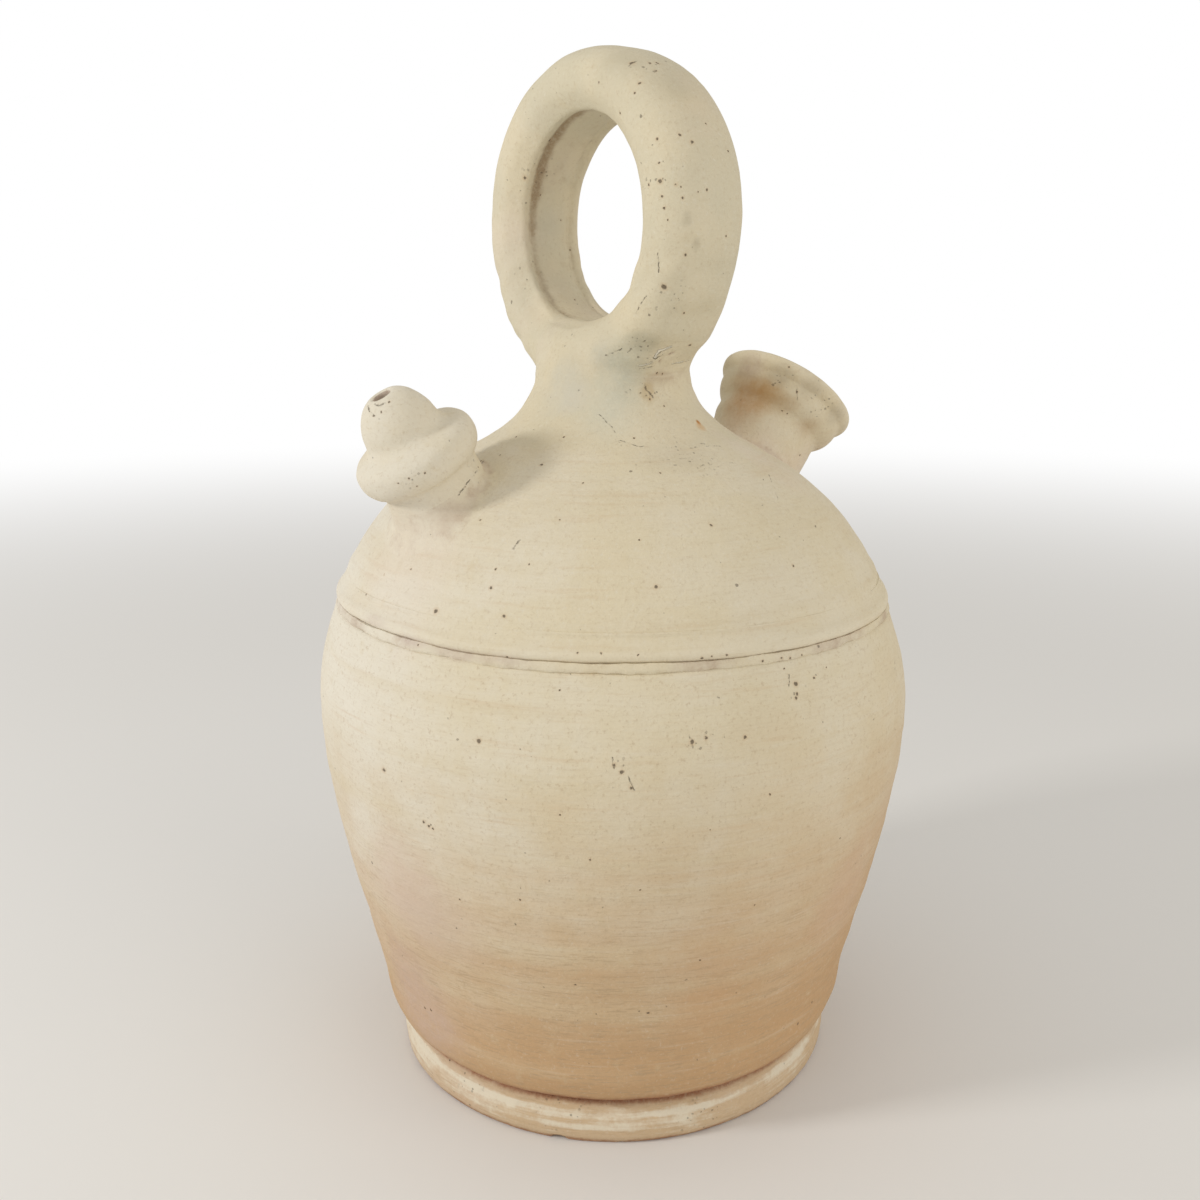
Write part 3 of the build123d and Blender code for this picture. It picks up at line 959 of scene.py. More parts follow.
def smear_slip(points, normals):
    outer = np.hypot(points[..., 0], points[..., 1]) > 99
    push = 0.22 * lumps(points, 14, 31) + 0.12 * lumps(points, 5, 32) - 0.15
    points = points + normals * (push * outer)[..., None]
    points[..., 2] -= seam_fall(points[..., 0], points[..., 1], points[..., 2])
    return points


slip = turned_piece("shoulder_slip_bead", slip_outline, LIP_COLUMNS, smear_slip)
finish_mesh(slip)
lip = turned_piece("shoulder_lip", lip_outline, LIP_COLUMNS, tilt_ring)

# %% [markdown]
# ## The dome, the stem and the ring
#
# These come from the net. A finer step is used where the clay was worked more. The dome
# and its turned lip are joined to one piece; the ring is solid, so instead of a wall it
# gets a flat bed where it stands in the root.

# %% Dome, stem and ring
dome = skin_piece(
    "shoulder_dome_skin", (-106, -106, 182), (106, 106, 240), 1.05,
    [above_notch, below(above_crown), outside_spout_root, outside_mouth_root], wall=6,
)


def join(piece, *others):
    """Joins meshes into the first one."""
    with bpy.context.temp_override(
        active_object=piece, object=piece, selected_editable_objects=[piece, *others]
    ):
        bpy.ops.object.join()
    return piece


finish_mesh(join(dome, lip))
stem = finish_mesh(skin_piece(
    "handle_neck_skin", (-52, -52, 231), (52, 52, 263), 0.9, [above_crown, below(above_waist)], wall=6
))
root = finish_mesh(skin_piece(
    "handle_root_skin", (-34, -44, 254), (34, 52, 276), 0.6, [above_waist, below(above_ring_foot)], wall=4
))
boss = finish_mesh(skin_piece(
    "spout_boss_skin", (-112, -34, 192), (-36, 34, 252), 0.6,
    [below(above_spout_seam), below(outside_spout_root)], wall=4,
))
mouth_root = finish_mesh(skin_piece(
    "mouth_root_skin", (40, -34, 188), (112, 34, 256), 0.6,
    [below(above_mouth_seam), below(outside_mouth_root)], wall=3,
))


def bed(points, faces):
    """Closes the one open edge of a skin with a flat fan."""
    rim = open_edges(faces)
    middle = points[np.unique(rim)].mean(0)
    fan = np.stack([rim[:, 1], rim[:, 0], np.full(len(rim), len(points))], 1)
    return np.vstack([points, middle]), np.vstack([faces, fan])


ring_skin = cut_skin((-23, -58, 266), (25, 68, 373), 0.8, [above_ring_foot])
ring = finish_mesh(make_object("ring_handle_skin", *bed(*ring_skin)))

# %% [markdown]
# ## The spout and the mouth
#
# Both are turned about their leaning axes, hollow all the way through, and the rows near
# the seam settle on the shared clay, so that they meet their roots without a step.

# %% The spout and the mouth
SPOUT_COLUMNS = 300
MOUTH_COLUMNS = 360


def settle_rows(axis, lowest):
    """A push that settles the outer rows on the clay, with level directions low down."""
    def push(points, normals):
        away, along = about_axis(points, axis)
        radial = points - axis[0] - along[..., None] * axis[1]
        radial /= np.maximum(np.linalg.norm(radial, axis=-1), 1e-9)[..., None]
        normals = np.where((along < -6)[..., None], radial, normals)
        outer = np.abs(clay(points)) < 3.0
        outer &= (along > lowest - 0.01) & (np.arange(len(points))[:, None] < push.rows)
        settled = settle_along(clay, points, normals)
        return np.where(outer[..., None], settled, points)

    return push


def leaning_piece(name, skin, inside, axis, seam, count):
    outline = np.vstack([even_steps(skin, 0.55), inside])
    push = settle_rows(axis, seam)
    push.rows = len(outline) - len(inside)
    return finish_mesh(turned_piece(name, outline, count, push, axis))


spout_inside = [
    (2.8, 21.4), (2.8, 15.0), (2.8, 9.0), (7.0, -19.5), (10.0, -19.5), (10.0, SPOUT_SEAM), (13.5, SPOUT_SEAM)
]
mouth_inside = smooth_line(
    [(24.3, 15.9), (23.2, 14.6), (21.4, 12.2), (18.7, 8.8), (16.2, 5.4), (14.5, 2.8), (14.0, 0.5)], 4
)
mouth_passage = [(14.0, -14.0), (14.0, -29.0), (19.2, -29.0), (19.2, MOUTH_SEAM)]
mouth_inside = np.vstack([mouth_inside, mouth_passage])
spout = leaning_piece("spout_skin", spout_skin, spout_inside, SPOUT, SPOUT_SEAM, SPOUT_COLUMNS)
mouth = leaning_piece("filler_mouth_skin", mouth_skin, mouth_inside, MOUTH, MOUTH_SEAM, MOUTH_COLUMNS)

# %% [markdown]
# ## Floor
#
# The floor is plain and pale and keeps the jug's shadow. It fades into a white distance
# for the camera alone: a light path node tells the camera's rays from all the others, so
# the white gives the jug no light of its own.

# %% Floor
FLOOR_COLOUR = (0.80, 0.79, 0.77, 1)
FLOOR_SPOKES, FLOOR_RINGS = 96, (0.02, 0.3, 1.0, 3.0, 8.0)      # rings in metres
FLOOR_GAP = 0.0002               # keeps the floor just clear of the foot, in metres


def node(tree, kind, **values):
    """Adds a shader node, with settings by attribute name and inputs by socket name."""
    made = tree.nodes.new(kind)
    for key, value in values.items():
        if hasattr(made, key):
            setattr(made, key, value)
        else:
            made.inputs[key.replace("_", " ")].default_value = value
    return made


def floor_material():
    material = bpy.data.materials.new("pale_floor")
    material.use_nodes = True
    tree = material.node_tree
    tree.nodes.clear()
    place = node(tree, "ShaderNodeTexCoord")
    away = node(tree, "ShaderNodeVectorMath", operation="LENGTH")
    fade = node(tree, "ShaderNodeMapRange", interpolation_type="SMOOTHSTEP")
    fade.inputs["From Min"].default_value = 0.5
    fade.inputs["From Max"].default_value = 2.2
    seen = node(tree, "ShaderNodeLightPath")
    both = node(tree, "ShaderNodeMath", operation="MULTIPLY")
    matte = node(tree, "ShaderNodeBsdfDiffuse")
    matte.inputs["Color"].default_value = FLOOR_COLOUR
    white = node(tree, "ShaderNodeEmission")
    white.inputs["Color"].default_value = (1, 1, 1, 1)
    blend = node(tree, "ShaderNodeMixShader")
    out = node(tree, "ShaderNodeOutputMaterial")
    link = tree.links.new
    link(place.outputs["Object"], away.inputs[0])
    link(away.outputs["Value"], fade.inputs["Value"])
    link(fade.outputs["Result"], both.inputs[0])
    link(seen.outputs["Is Camera Ray"], both.inputs[1])
    link(both.outputs[0], blend.inputs[0])
    link(matte.outputs[0], blend.inputs[1])
    link(white.outputs[0], blend.inputs[2])
    link(blend.outputs[0], out.inputs["Surface"])
    return material


def make_floor():
    count = FLOOR_SPOKES
    turns = [2 * pi * n / count for n in range(count)]
    points = [(0, 0, 0)] + [(radius * cos(t), radius * sin(t), 0) for radius in FLOOR_RINGS for t in turns]
    faces = [(0, 1 + n, 1 + (n + 1) % count) for n in range(count)]
    for r in range(len(FLOOR_RINGS) - 1):
        a, b = 1 + r * count, 1 + (r + 1) * count
        faces += [(a + n, b + n, b + (n + 1) % count, a + (n + 1) % count) for n in range(count)]
    mesh = bpy.data.meshes.new("floor")
    mesh.from_pydata(points, [], faces)
    floor = bpy.data.objects.new("floor", mesh)
    bpy.context.collection.objects.link(floor)
    floor.location.z = -FLOOR_GAP
    mesh.materials.append(floor_material())
    print("floor faces:", len(faces))


make_floor()

# %% [markdown]
# ## Light
#
# A small lamp stands on the left, about twice as high as the jug, and draws the spout's
# shadow on the dome. A wide, weak one on the right and the room's own light fill in. A
# sun lamp would give parallel, harder shadows than the real ones.

# %% Light
KEY_POWER, KEY_SIZE, KEY_COLOUR = 8.4, 0.24, (1, 0.985, 0.96)
FILL_POWER, FILL_SIZE, FILL_COLOUR = 6.6, 1.4, (1, 0.95, 0.88)
WORLD_LIGHT = (0.66, 0.645, 0.62, 1)
LEFT = Vector(LEFT_OF_VIEW)
NEAR = Vector((-0.6018, -0.7986, 0))      # from the jug towards the camera
KEY_SPOT = LEFT * 1.3 + NEAR * 0.5 + Vector((0, 0, 0.72))
FILL_SPOT = LEFT * -1.2 + NEAR * 0.9 + Vector((0, 0, 0.55))
LIGHT_AIM = Vector((0, 0, 0.2))


def area_light(name, spot, power, size, colour):
    lamp = bpy.data.lights.new(name, "AREA")
    lamp.energy = power
    lamp.size = size
    lamp.color = colour
    made = bpy.data.objects.new(name, lamp)
    bpy.context.collection.objects.link(made)
    made.location = spot
    made.rotation_euler = (LIGHT_AIM - spot).to_track_quat("-Z", "Y").to_euler()
    print(name, "lamp at", [round(v, 2) for v in spot], "m")


def make_world():
    world = bpy.data.worlds.new("room")
    bpy.context.scene.world = world
    world.use_nodes = True
    tree = world.node_tree
    tree.nodes.clear()
    seen = node(tree, "ShaderNodeLightPath")
    room = node(tree, "ShaderNodeBackground")
    room.inputs["Color"].default_value = WORLD_LIGHT
    white = node(tree, "ShaderNodeBackground")
    white.inputs["Color"].default_value = (1, 1, 1, 1)
    blend = node(tree, "ShaderNodeMixShader")
    out = node(tree, "ShaderNodeOutputWorld")
    tree.links.new(seen.outputs["Is Camera Ray"], blend.inputs[0])
    tree.links.new(room.outputs[0], blend.inputs[1])
    tree.links.new(white.outputs[0], blend.inputs[2])
    tree.links.new(blend.outputs[0], out.inputs["Surface"])


make_world()
area_light("window", KEY_SPOT, KEY_POWER, KEY_SIZE, KEY_COLOUR)
area_light("room", FILL_SPOT, FILL_POWER, FILL_SIZE, FILL_COLOUR)
bpy.context.scene.view_settings.view_transform = "Standard"

# %% [markdown]
# ## Places of the marks
#
# Every listed speck, scratch and stain was read from the picture. A line of sight
# through each place is followed until it meets the jug, so a mark lands on the piece that
# shows there. Painting them by hand would need a flat map of the jug, which it has not.

# %% Finding places on the jug
ALL_PIECES = [foot, belly, slip, dome, stem, root, ring, boss, spout, mouth_root, mouth]


def sight_tree():
    """All pieces in one search tree, in mm, with the piece's number for each triangle."""
    points, faces, owners, count = [], [], [], 0
    for number, piece in enumerate(ALL_PIECES):
        mesh = piece.data
        spots = np.empty(len(mesh.vertices) * 3)
        mesh.vertices.foreach_get("co", spots)
        points.append(spots.reshape(-1, 3) / MM)
        mesh.calc_loop_triangles()
        corners = np.empty(len(mesh.loop_triangles) * 3, int)
        mesh.loop_triangles.foreach_get("vertices", corners)
        faces.append(corners.reshape(-1, 3) + count)
        owners += [number] * len(faces[-1])
        count += len(points[-1])
    points, faces = np.vstack(points).tolist(), np.vstack(faces).tolist()
    return BVHTree.FromPolygons(points, faces, all_triangles=True), owners


jug_tree, face_owner = sight_tree()


def spot_at(u, v):
    """The place in mm that the picture shows at (u, v), and the piece it is on."""
    start, way = pixel_ray(u, v)
    hit, _, face, _ = jug_tree.ray_cast(Vector(start), Vector(way))
    if hit is None:
        return None, None
    return np.array(hit), ALL_PIECES[face_owner[face]].name


print("triangles to look through:", len(face_owner))

# %% [markdown]
# ## The marks
#
# Pits are where a grain of grit or chaff burned out. Scratches are dark with dirt. Patches
# are places with many small specks. Slivers are curls of smeared clay, painted pale as a
# highlight. Stains are soft: grey at the ring's root and a rust spot. Some rows are painted
# light and shade: a brown blush of painted shade and warm reflection under the mouth's
# flare and in its groove, partly the clay's own, a paler patch of painted light on the
# dome's left, a pink painted reflection on the belly's right, and painted shade with a pink
# reflection low on the belly's left, there partly the clay's own tan.
# Each row is a place in the picture in pixels, then sizes in mm.

# %% Marks read from the picture
PITS = [
    (436, 611, 1.0), (504, 616, 0.7), (491, 588, 0.8), (366, 595, 0.5), (384, 575, 0.4), (411, 569, 0.5),
    (496, 569, 0.5), (529, 564, 0.4), (656, 587, 0.9), (793, 566, 0.6), (560, 520, 0.4), (640, 540, 0.4),
    (702, 658, 0.5), (712, 656, 0.4), (727, 655, 0.5), (638, 655, 0.45), (763, 661, 0.5), (782, 658, 0.45),
    (790, 658, 0.6), (802, 655, 0.5), (601, 653, 0.4), (578, 653, 0.4), (507, 657, 0.5), (418, 645, 0.5),
    (796, 684, 1.0), (797, 694, 0.7), (796, 698, 0.7), (814, 678, 0.5), (826, 668, 0.4), (784, 669, 0.4),
    (745, 737, 0.8), (692, 742, 0.9), (706, 738, 0.7), (622, 772, 0.8), (631, 788, 0.6), (614, 765, 0.6),
    (384, 770, 0.9), (424, 822, 0.7), (429, 826, 0.8), (433, 829, 0.6), (479, 741, 0.9), (560, 690, 0.4),
    (541, 465, 0.7), (500, 455, 0.4), (516, 437, 0.5), (564, 437, 0.45), (583, 483, 0.5), (660, 473, 0.5),
    (711, 525, 0.7), (634, 438, 0.5), (480, 520, 0.5), (520, 900, 0.5), (460, 900, 0.5), (575, 985, 0.5),
    (640, 890, 0.4), (700, 960, 0.5), (755, 905, 0.4), (812, 1002, 0.6), (648, 1013, 0.8), (431, 1010, 0.7),
    (425, 1008, 0.6), (386, 1048, 0.6), (560, 815, 0.4), (590, 860, 0.5), (710, 830, 0.4), (770, 795, 0.5),
    (632, 63, 1.0), (650, 63, 0.7), (657, 63, 0.9), (656, 71, 0.7), (640, 83, 0.8),
    (635, 93, 0.5), (599, 82, 0.5),
    (620, 113, 0.6), (600, 116, 0.5), (657, 139, 0.5), (680, 135, 0.6), (692, 142, 0.8), (706, 124, 0.5),
    (659, 163, 0.5), (660, 181, 0.9), (662, 196, 0.6), (649, 185, 0.6), (676, 185, 0.5), (683, 198, 0.6),
    (681, 187, 0.4), (664, 208, 0.5), (668, 220, 0.4), (707, 190, 0.5), (698, 192, 0.4), (728, 151, 0.6),
    (685, 255, 0.6), (664, 287, 1.2), (684, 313, 0.6), (726, 236, 0.5), (550, 140, 0.8), (525, 178, 0.9),
    (541, 195, 0.4), (561, 220, 0.4), (533, 262, 0.4), (570, 250, 0.4), (585, 180, 0.4), (575, 300, 0.5),
    (389, 402, 0.5), (381, 412, 0.35), (373, 416, 0.35), (481, 461, 0.5), (478, 467, 0.4), (465, 487, 0.3),
    (409, 479, 0.5), (398, 483, 0.35), (425, 473, 0.4), (417, 486, 0.3), (800, 455, 0.5),
    (789, 367, 0.6), (797, 392, 0.6), (782, 411, 0.4), (787, 414, 0.4), (741, 400, 0.4),
    (811, 453, 0.6), (817, 449, 0.5), (657, 373, 0.6), (662, 374, 0.4), (650, 399, 0.5),
    (664, 406, 0.4), (690, 345, 0.7), (450, 1060, 0.5), (396, 1050, 0.6), (470, 1105, 0.6),
]
SCRATCHES = [
    (368, 406, 370, 411, 0.8), (375, 404, 379, 406, 0.7), (380, 405, 385, 403, 0.8),
    (372, 413, 374, 416, 0.6),
    (645, 385, 647, 391, 0.8), (648, 392, 653, 397, 0.8), (640, 369, 652, 367, 0.4),
    (600, 415, 613, 428, 0.4),
    (613, 428, 622, 447, 0.4), (690, 448, 720, 446, 0.4), (650, 462, 690, 458, 0.35),
    (700, 466, 735, 463, 0.35),
    (628, 352, 645, 341, 0.4), (605, 356, 622, 349, 0.4),
    (513, 549, 520, 540, 0.6), (895, 658, 895, 670, 0.5), (789, 675, 789, 686, 0.5),
    (483, 461, 476, 472, 0.7),
    (476, 472, 468, 482, 0.5), (468, 482, 458, 495, 0.6), (769, 475, 778, 500, 0.4),
    (797, 389, 797, 400, 0.6),
    (629, 66, 636, 61, 0.7), (658, 253, 659, 272, 0.5), (646, 296, 636, 313, 0.5),
    (654, 358, 660, 352, 0.6),
    (660, 352, 671, 347, 0.5), (655, 359, 668, 352, 0.5), (655, 372, 690, 367, 0.4),
    (690, 735, 693, 748, 0.6),
    (628, 776, 634, 790, 0.5), (612, 758, 614, 768, 0.5), (620, 440, 640, 447, 0.4),
    (640, 447, 705, 444, 0.35),
]
PATCHES = [
    (700, 740, 6), (622, 774, 7), (428, 825, 4), (380, 408, 5), (640, 392, 7), (655, 390, 5), (648, 66, 8),
    (672, 300, 9), (655, 185, 9), (690, 457, 14), (540, 170, 9), (529, 275, 8), (418, 482, 5),
    (797, 690, 5),
    (475, 470, 6), (820, 405, 8), (780, 385, 7), (640, 350, 9), (560, 1110, 12), (700, 1120, 12),
    (470, 1080, 9),
]
SLIVERS = [
    (655, 357, 659, 351, 0.8), (659, 351, 671, 347, 0.9), (640, 366, 652, 363, 0.5),
    (672, 364, 690, 359, 0.5),
]
MARK_KINDS = ("pits", "scratches", "slivers", "patches", "stains_and_painted_light")
# u, v, radius in mm, squash of the height, strength, colour
STAINS_AND_PAINTED_LIGHT = [
    (622, 372, 15, 1.0, 0.75, (0.475, 0.475, 0.385)),
    (596, 352, 9, 1.0, 0.6, (0.49, 0.48, 0.40)),
    (612, 402, 17, 1.0, 0.6, (0.56, 0.565, 0.475)),
    (640, 345, 8, 0.8, 0.6, (0.43, 0.40, 0.30)),
    (648, 390, 4.0, 1.6, 0.65, (0.47, 0.34, 0.17)),
    (370, 622, 11, 0.25, 0.5, (0.52, 0.42, 0.37)),
    (405, 642, 11, 0.25, 0.5, (0.52, 0.42, 0.37)),
    (450, 656, 12, 0.22, 0.45, (0.52, 0.42, 0.37)),
    (500, 662, 12, 0.22, 0.35, (0.54, 0.44, 0.38)),
    (830, 648, 12, 0.3, 0.35, (0.54, 0.44, 0.36)),
    (662, 378, 8, 0.6, 0.5, (0.52, 0.43, 0.28)),
    (698, 422, 1.5, 1.5, 1.0, (0.42, 0.17, 0.03)),
    (700, 426, 2.6, 1.5, 0.6, (0.60, 0.33, 0.12)),
    (572, 395, 8, 1.0, 0.5, (0.60, 0.57, 0.49)),
    (690, 455, 22, 0.35, 0.35, (0.52, 0.45, 0.33)),
    # The next four rows are painted shade with a warm painted reflection under the mouth's flare and in its
    # groove, partly a brown blush of the clay.
    (741, 398, 15, 1.0, 0.7, (0.50, 0.27, 0.11)),
    (762, 394, 12, 0.8, 0.65, (0.50, 0.29, 0.11)),
    (785, 405, 9, 0.8, 0.5, (0.47, 0.31, 0.16)),
    (808, 428, 8, 0.8, 0.5, (0.47, 0.33, 0.19)),
    (748, 364, 9, 0.8, 0.45, (0.47, 0.36, 0.29)),
    (780, 374, 8, 0.8, 0.5, (0.42, 0.36, 0.26)),
    (812, 388, 8, 0.8, 0.4, (0.42, 0.36, 0.27)),
    (838, 416, 7, 1.0, 0.4, (0.45, 0.40, 0.31)),
    # Painted light: the dome's left, towards the lamp, paler and pinker.
    (400, 560, 30, 1.0, 0.35, (0.77, 0.68, 0.60)),
    # The next three rows darken the belly low on its left: painted shade with a pink painted reflection,
    # partly the clay's own tan.
    (395, 890, 26, 1.0, 0.45, (0.66, 0.53, 0.46)),
    (415, 1010, 30, 1.2, 0.7, (0.56, 0.42, 0.34)),
    (430, 930, 26, 0.8, 0.45, (0.60, 0.48, 0.38)),
    (560, 380, 14, 1.0, 0.6, (0.60, 0.575, 0.48)),
    (613, 54, 16, 1.0, 0.5, (0.53, 0.48, 0.35)),
    (668, 75, 12, 1.0, 0.4, (0.53, 0.48, 0.35)),
    # A pink painted reflection on the belly's right.
    (850, 900, 26, 1.2, 0.4, (0.64, 0.46, 0.34)),
    (690, 960, 22, 1.0, 0.35, (0.58, 0.38, 0.21)),
    (700, 1020, 18, 1.0, 0.35, (0.60, 0.37, 0.20)),
    (560, 170, 13, 1.4, 0.4, (0.60, 0.53, 0.42)),
    (553, 225, 11, 1.2, 0.35, (0.56, 0.54, 0.46)),
    (687, 219, 2.4, 1.5, 0.5, (0.45, 0.40, 0.29)),
    (696, 243, 2.6, 1.5, 0.5, (0.45, 0.40, 0.29)),
]
LARGE_STAIN = 6                  # mm; larger stains stand a little off the clay, so that
STAIN_LIFT = 0.3                 # they fade over its curve: this share of their radius
STAIN_REACH = 0.9                # a piece takes a mark that comes this near, in radii


def box_of(piece):
    """Lowest and highest corner of a piece, in mm."""
    corners = np.array(piece.bound_box).reshape(8, 3) / MM
    return corners.min(0), corners.max(0)


def place_marks():
    """Each piece's own marks, as lists of places in mm with their sizes."""
    found = {piece.name: {kind: [] for kind in MARK_KINDS} for piece in ALL_PIECES}
    missed = 0
    for u, v, size in PITS:
        spot, name = spot_at(u, v)
        if name:
            found[name]["pits"].append((spot, size))
        missed += name is None
    for kind, rows in (("scratches", SCRATCHES), ("slivers", SLIVERS)):
        for u, v, u2, v2, size in rows:
            (start, name), (end, other) = spot_at(u, v), spot_at(u2, v2)
            if name and other:
                for each in sorted({name, other}):
                    found[each][kind].append((start, end, size))
            missed += name is None or other is None
    for kind, rows in (("patches", PATCHES), ("stains_and_painted_light", STAINS_AND_PAINTED_LIGHT)):
        for u, v, size, *rest in rows:
            spot, name = spot_at(u, v)
            missed += name is None
            if not name:
                continue
            if kind == "stains_and_painted_light" and size > LARGE_STAIN:
                spot = spot - pixel_ray(u, v)[1] * STAIN_LIFT * size
            for piece in ALL_PIECES:
                low, high = box_of(piece)
                gap = np.maximum(np.maximum(low - spot, spot - high), 0)
                if np.linalg.norm(gap) < size * STAIN_REACH:
                    found[piece.name][kind].append((spot, size, *rest))
    print("marks that met no clay:", missed)
    for name, kinds in found.items():
        print(name, {kind: len(rows) for kind, rows in kinds.items()})
    return found


marks = place_marks()

# %% [markdown]
# ## Hollows and edges
#
# The hollows are painted darker, dirt and painted shade together, and edges wear pale.
# How deep in a hollow a place lies is read from the clay itself: a little way off the
# skin the distance is short where the skin curls up round it. The value is kept on the
# points of the mesh for the clay to use.

# %% Hollows and edges
HOLLOW_REACH = 2.6
HOLLOW_GAIN = 2.2
# How dark the ring's channel is painted, dirt and painted shade together, by the angle
# round the ring in degrees.
CHANNEL_TURNS = (0, 30, 60, 90, 120, 180, 270, 315, 345, 360)
CHANNEL_GRIME_AND_SHADE = (0.55, 0.95, 0.95, 0.6, 0.3, 0.15, 0.3, 0.5, 0.4, 0.55)


def keep_value(piece, name, values):
    layer = piece.data.attributes.new(name, "FLOAT", "POINT")
    layer.data.foreach_set("value", np.clip(values, 0, 1).astype(np.float32))


def points_of(piece):
    spots = np.empty(len(piece.data.vertices) * 3)
    piece.data.vertices.foreach_get("co", spots)
    return spots.reshape(-1, 3) / MM


def mark_hollows(piece):
    """Stores how sharp an edge is at each point; hands back the points and their hollows."""
    p = points_of(piece)
    slope = slope_of(clay, p, 0.3)
    out = slope / np.maximum(np.linalg.norm(slope, axis=1), 1e-6)[:, None]
    here = clay(p)
    hollow = 1 - (clay(p + out * HOLLOW_REACH) - here) / HOLLOW_REACH
    edge = 1 + (clay(p - out * HOLLOW_REACH) - here) / HOLLOW_REACH
    keep_value(piece, "edge", edge * HOLLOW_GAIN)
    return p, hollow * HOLLOW_GAIN


def band(value, middle, width):
    """1 at `middle`, falling softly to nothing a few widths away."""
    return np.exp(-(((value - middle) / width) ** 2))


for piece in (stem, root, boss, mouth_root, mouth):
    keep_value(piece, "dirt", mark_hollows(piece)[1])
# The spout is darkened a little in its hollows and fully inside its bore: painted shade in the hole.
p, hollow = mark_hollows(spout)
away, along = about_axis(p, SPOUT)
keep_value(spout, "dirt", np.maximum(hollow * 0.3, 1 - ease(away, 2.9, 3.6)))

# The ring's channels are darkened, most on the spout's side and in the far upper part of
# the ring, where the inner wall faces down: painted shade there, dirt in the channels.
p, hollow = mark_hollows(ring)
q = p - RING_MIDDLE
away, turn = np.hypot(q[:, 1], q[:, 2]), np.degrees(np.arctan2(q[:, 2], q[:, 1])) % 360
inner_wall = RING_RADIUS - RING_THICKNESS
inside = 1 - ease(away, inner_wall + 1.5, inner_wall + 5)
channel = band(q[:, 0], 0.4 - CHANNEL_PLACE, 2.4) + 0.25 * band(q[:, 0], CHANNEL_PLACE, 1.6)
channel = channel + 0.22 * (np.abs(q[:, 0]) < CHANNEL_PLACE)
grime_and_shade = inside * channel * np.interp(turn, CHANNEL_TURNS, CHANNEL_GRIME_AND_SHADE)
keep_value(ring, "dirt", np.maximum(hollow * 0.5, grime_and_shade))

# The dome is darker in its hollows and in a band under the lip: painted shade in that
# crease. The belly is darker in the crease above the foot, painted shade under its lower
# edge, and a little under the slip; the foot is darker in that crease too and near the
# ground.
p, hollow = mark_hollows(dome)
level = p[:, 2] + seam_fall(*p.T)
keep_value(dome, "dirt", np.maximum(np.where(level > 192, hollow, 0), band(level, 179.2, 0.9)))
p = points_of(belly)
level = p[:, 2] + seam_fall(*p.T) * ease(p[:, 2], 120, 172)
crease = 1 - ease(p[:, 2], 17.4, 24.5)
keep_value(belly, "dirt", np.maximum(crease, 0.15 * ease(level, 176.2, 177.2)))
keep_value(belly, "edge", np.zeros(len(p)))
p = points_of(foot)
up = p[:, 2]
keep_value(foot, "dirt", np.maximum(ease(up, 12.8, 16.0), 0.7 * (1 - ease(up, 0.3, 3.4))))
# The worn band is paler on the side towards the lamp: painted light.
lit_side = ease(p @ [-0.93, 0.25, 0], -45, 60)
worn = band(up, 11.4, 2.0) + (0.45 + 0.4 * lit_side) * band(up, 6.6, 3.6)
keep_value(foot, "edge", 0.72 * worn + 0.16 * lumps(p, 24, 62))
# The slip is darkened all over, in clouds: dirt and painted shade under the lip.
p = points_of(slip)
keep_value(slip, "dirt", 0.36 + 0.3 * lumps(p, 18, 61))
keep_value(slip, "edge", np.zeros(len(p)))
print("dirt and wear are stored on", len(ALL_PIECES), "pieces")

# %% [markdown]
# ## Colours
#
# The clay is a cream white with a yellow tinge, and it turns tan towards the foot. Towards
# the camera's left, where the lamp falls, it is painted chalkier and a little pink: painted
# light. Each colour is a plain value here and the shader lays them over each other, so
# one can be changed without touching the rest.

# %% Colours
CREAM = (0.690, 0.610, 0.440, 1)
# Chalk is also the painted light on the camera's left.
CHALK_AND_LIGHT = (0.735, 0.690, 0.590, 1)
TAN = (0.540, 0.350, 0.188, 1)
PINK = (0.720, 0.580, 0.490, 1)
OCHRE = (0.620, 0.520, 0.345, 1)
ASH = (0.560, 0.530, 0.410, 1)
SCUFF = (0.430, 0.310, 0.190, 1)
SPECK = (0.110, 0.085, 0.058, 1)
WORN = (0.760, 0.700, 0.565, 1)
# Fresh is painted on the slivers as a highlight.
SLIVER_HIGHLIGHT = (0.840, 0.800, 0.690, 1)
# The three dirt colours below darken hollows and creases: dirt and painted shade together.
FOOT_DIRT_AND_SHADE = (0.300, 0.115, 0.055, 1)
SEAM_DIRT_AND_SHADE = (0.330, 0.205, 0.150, 1)
CHANNEL_DIRT_AND_SHADE = (0.300, 0.205, 0.120, 1)
print("cream is", CREAM[:3], "and the tan of the lower belly", TAN[:3])

# %% [markdown]
# ## Helpers for shader nodes
#
# A shader is a net of nodes, and written out one by one it is long to read. So each
# helper adds one kind of node and hands back its output, and a line then reads like a
# sum. A socket takes either a plain number or another node's output.

# %% Shader helpers
def joined(tree, value, socket):
    """Sets a socket from a node's output or from a plain number."""
    if isinstance(value, bpy.types.NodeSocket):
        tree.links.new(value, socket)
    else:
        socket.default_value = value


def maths(tree, operation, one, other=0.0):
    made = node(tree, "ShaderNodeMath", operation=operation)
    joined(tree, one, made.inputs[0])
    joined(tree, other, made.inputs[1])
    return made.outputs[0]


def plus(tree, base, added, times):
    """base + added * times"""
    made = node(tree, "ShaderNodeMath", operation="MULTIPLY_ADD")
    joined(tree, added, made.inputs[0])
    made.inputs[1].default_value = times
    joined(tree, base, made.inputs[2])
    return made.outputs[0]


def vector_maths(tree, operation, one, other, output="Vector"):
    made = node(tree, "ShaderNodeVectorMath", operation=operation)
    joined(tree, one, made.inputs[0])
    joined(tree, other, made.inputs[3 if operation == "SCALE" else 1])
    return made.outputs[output]


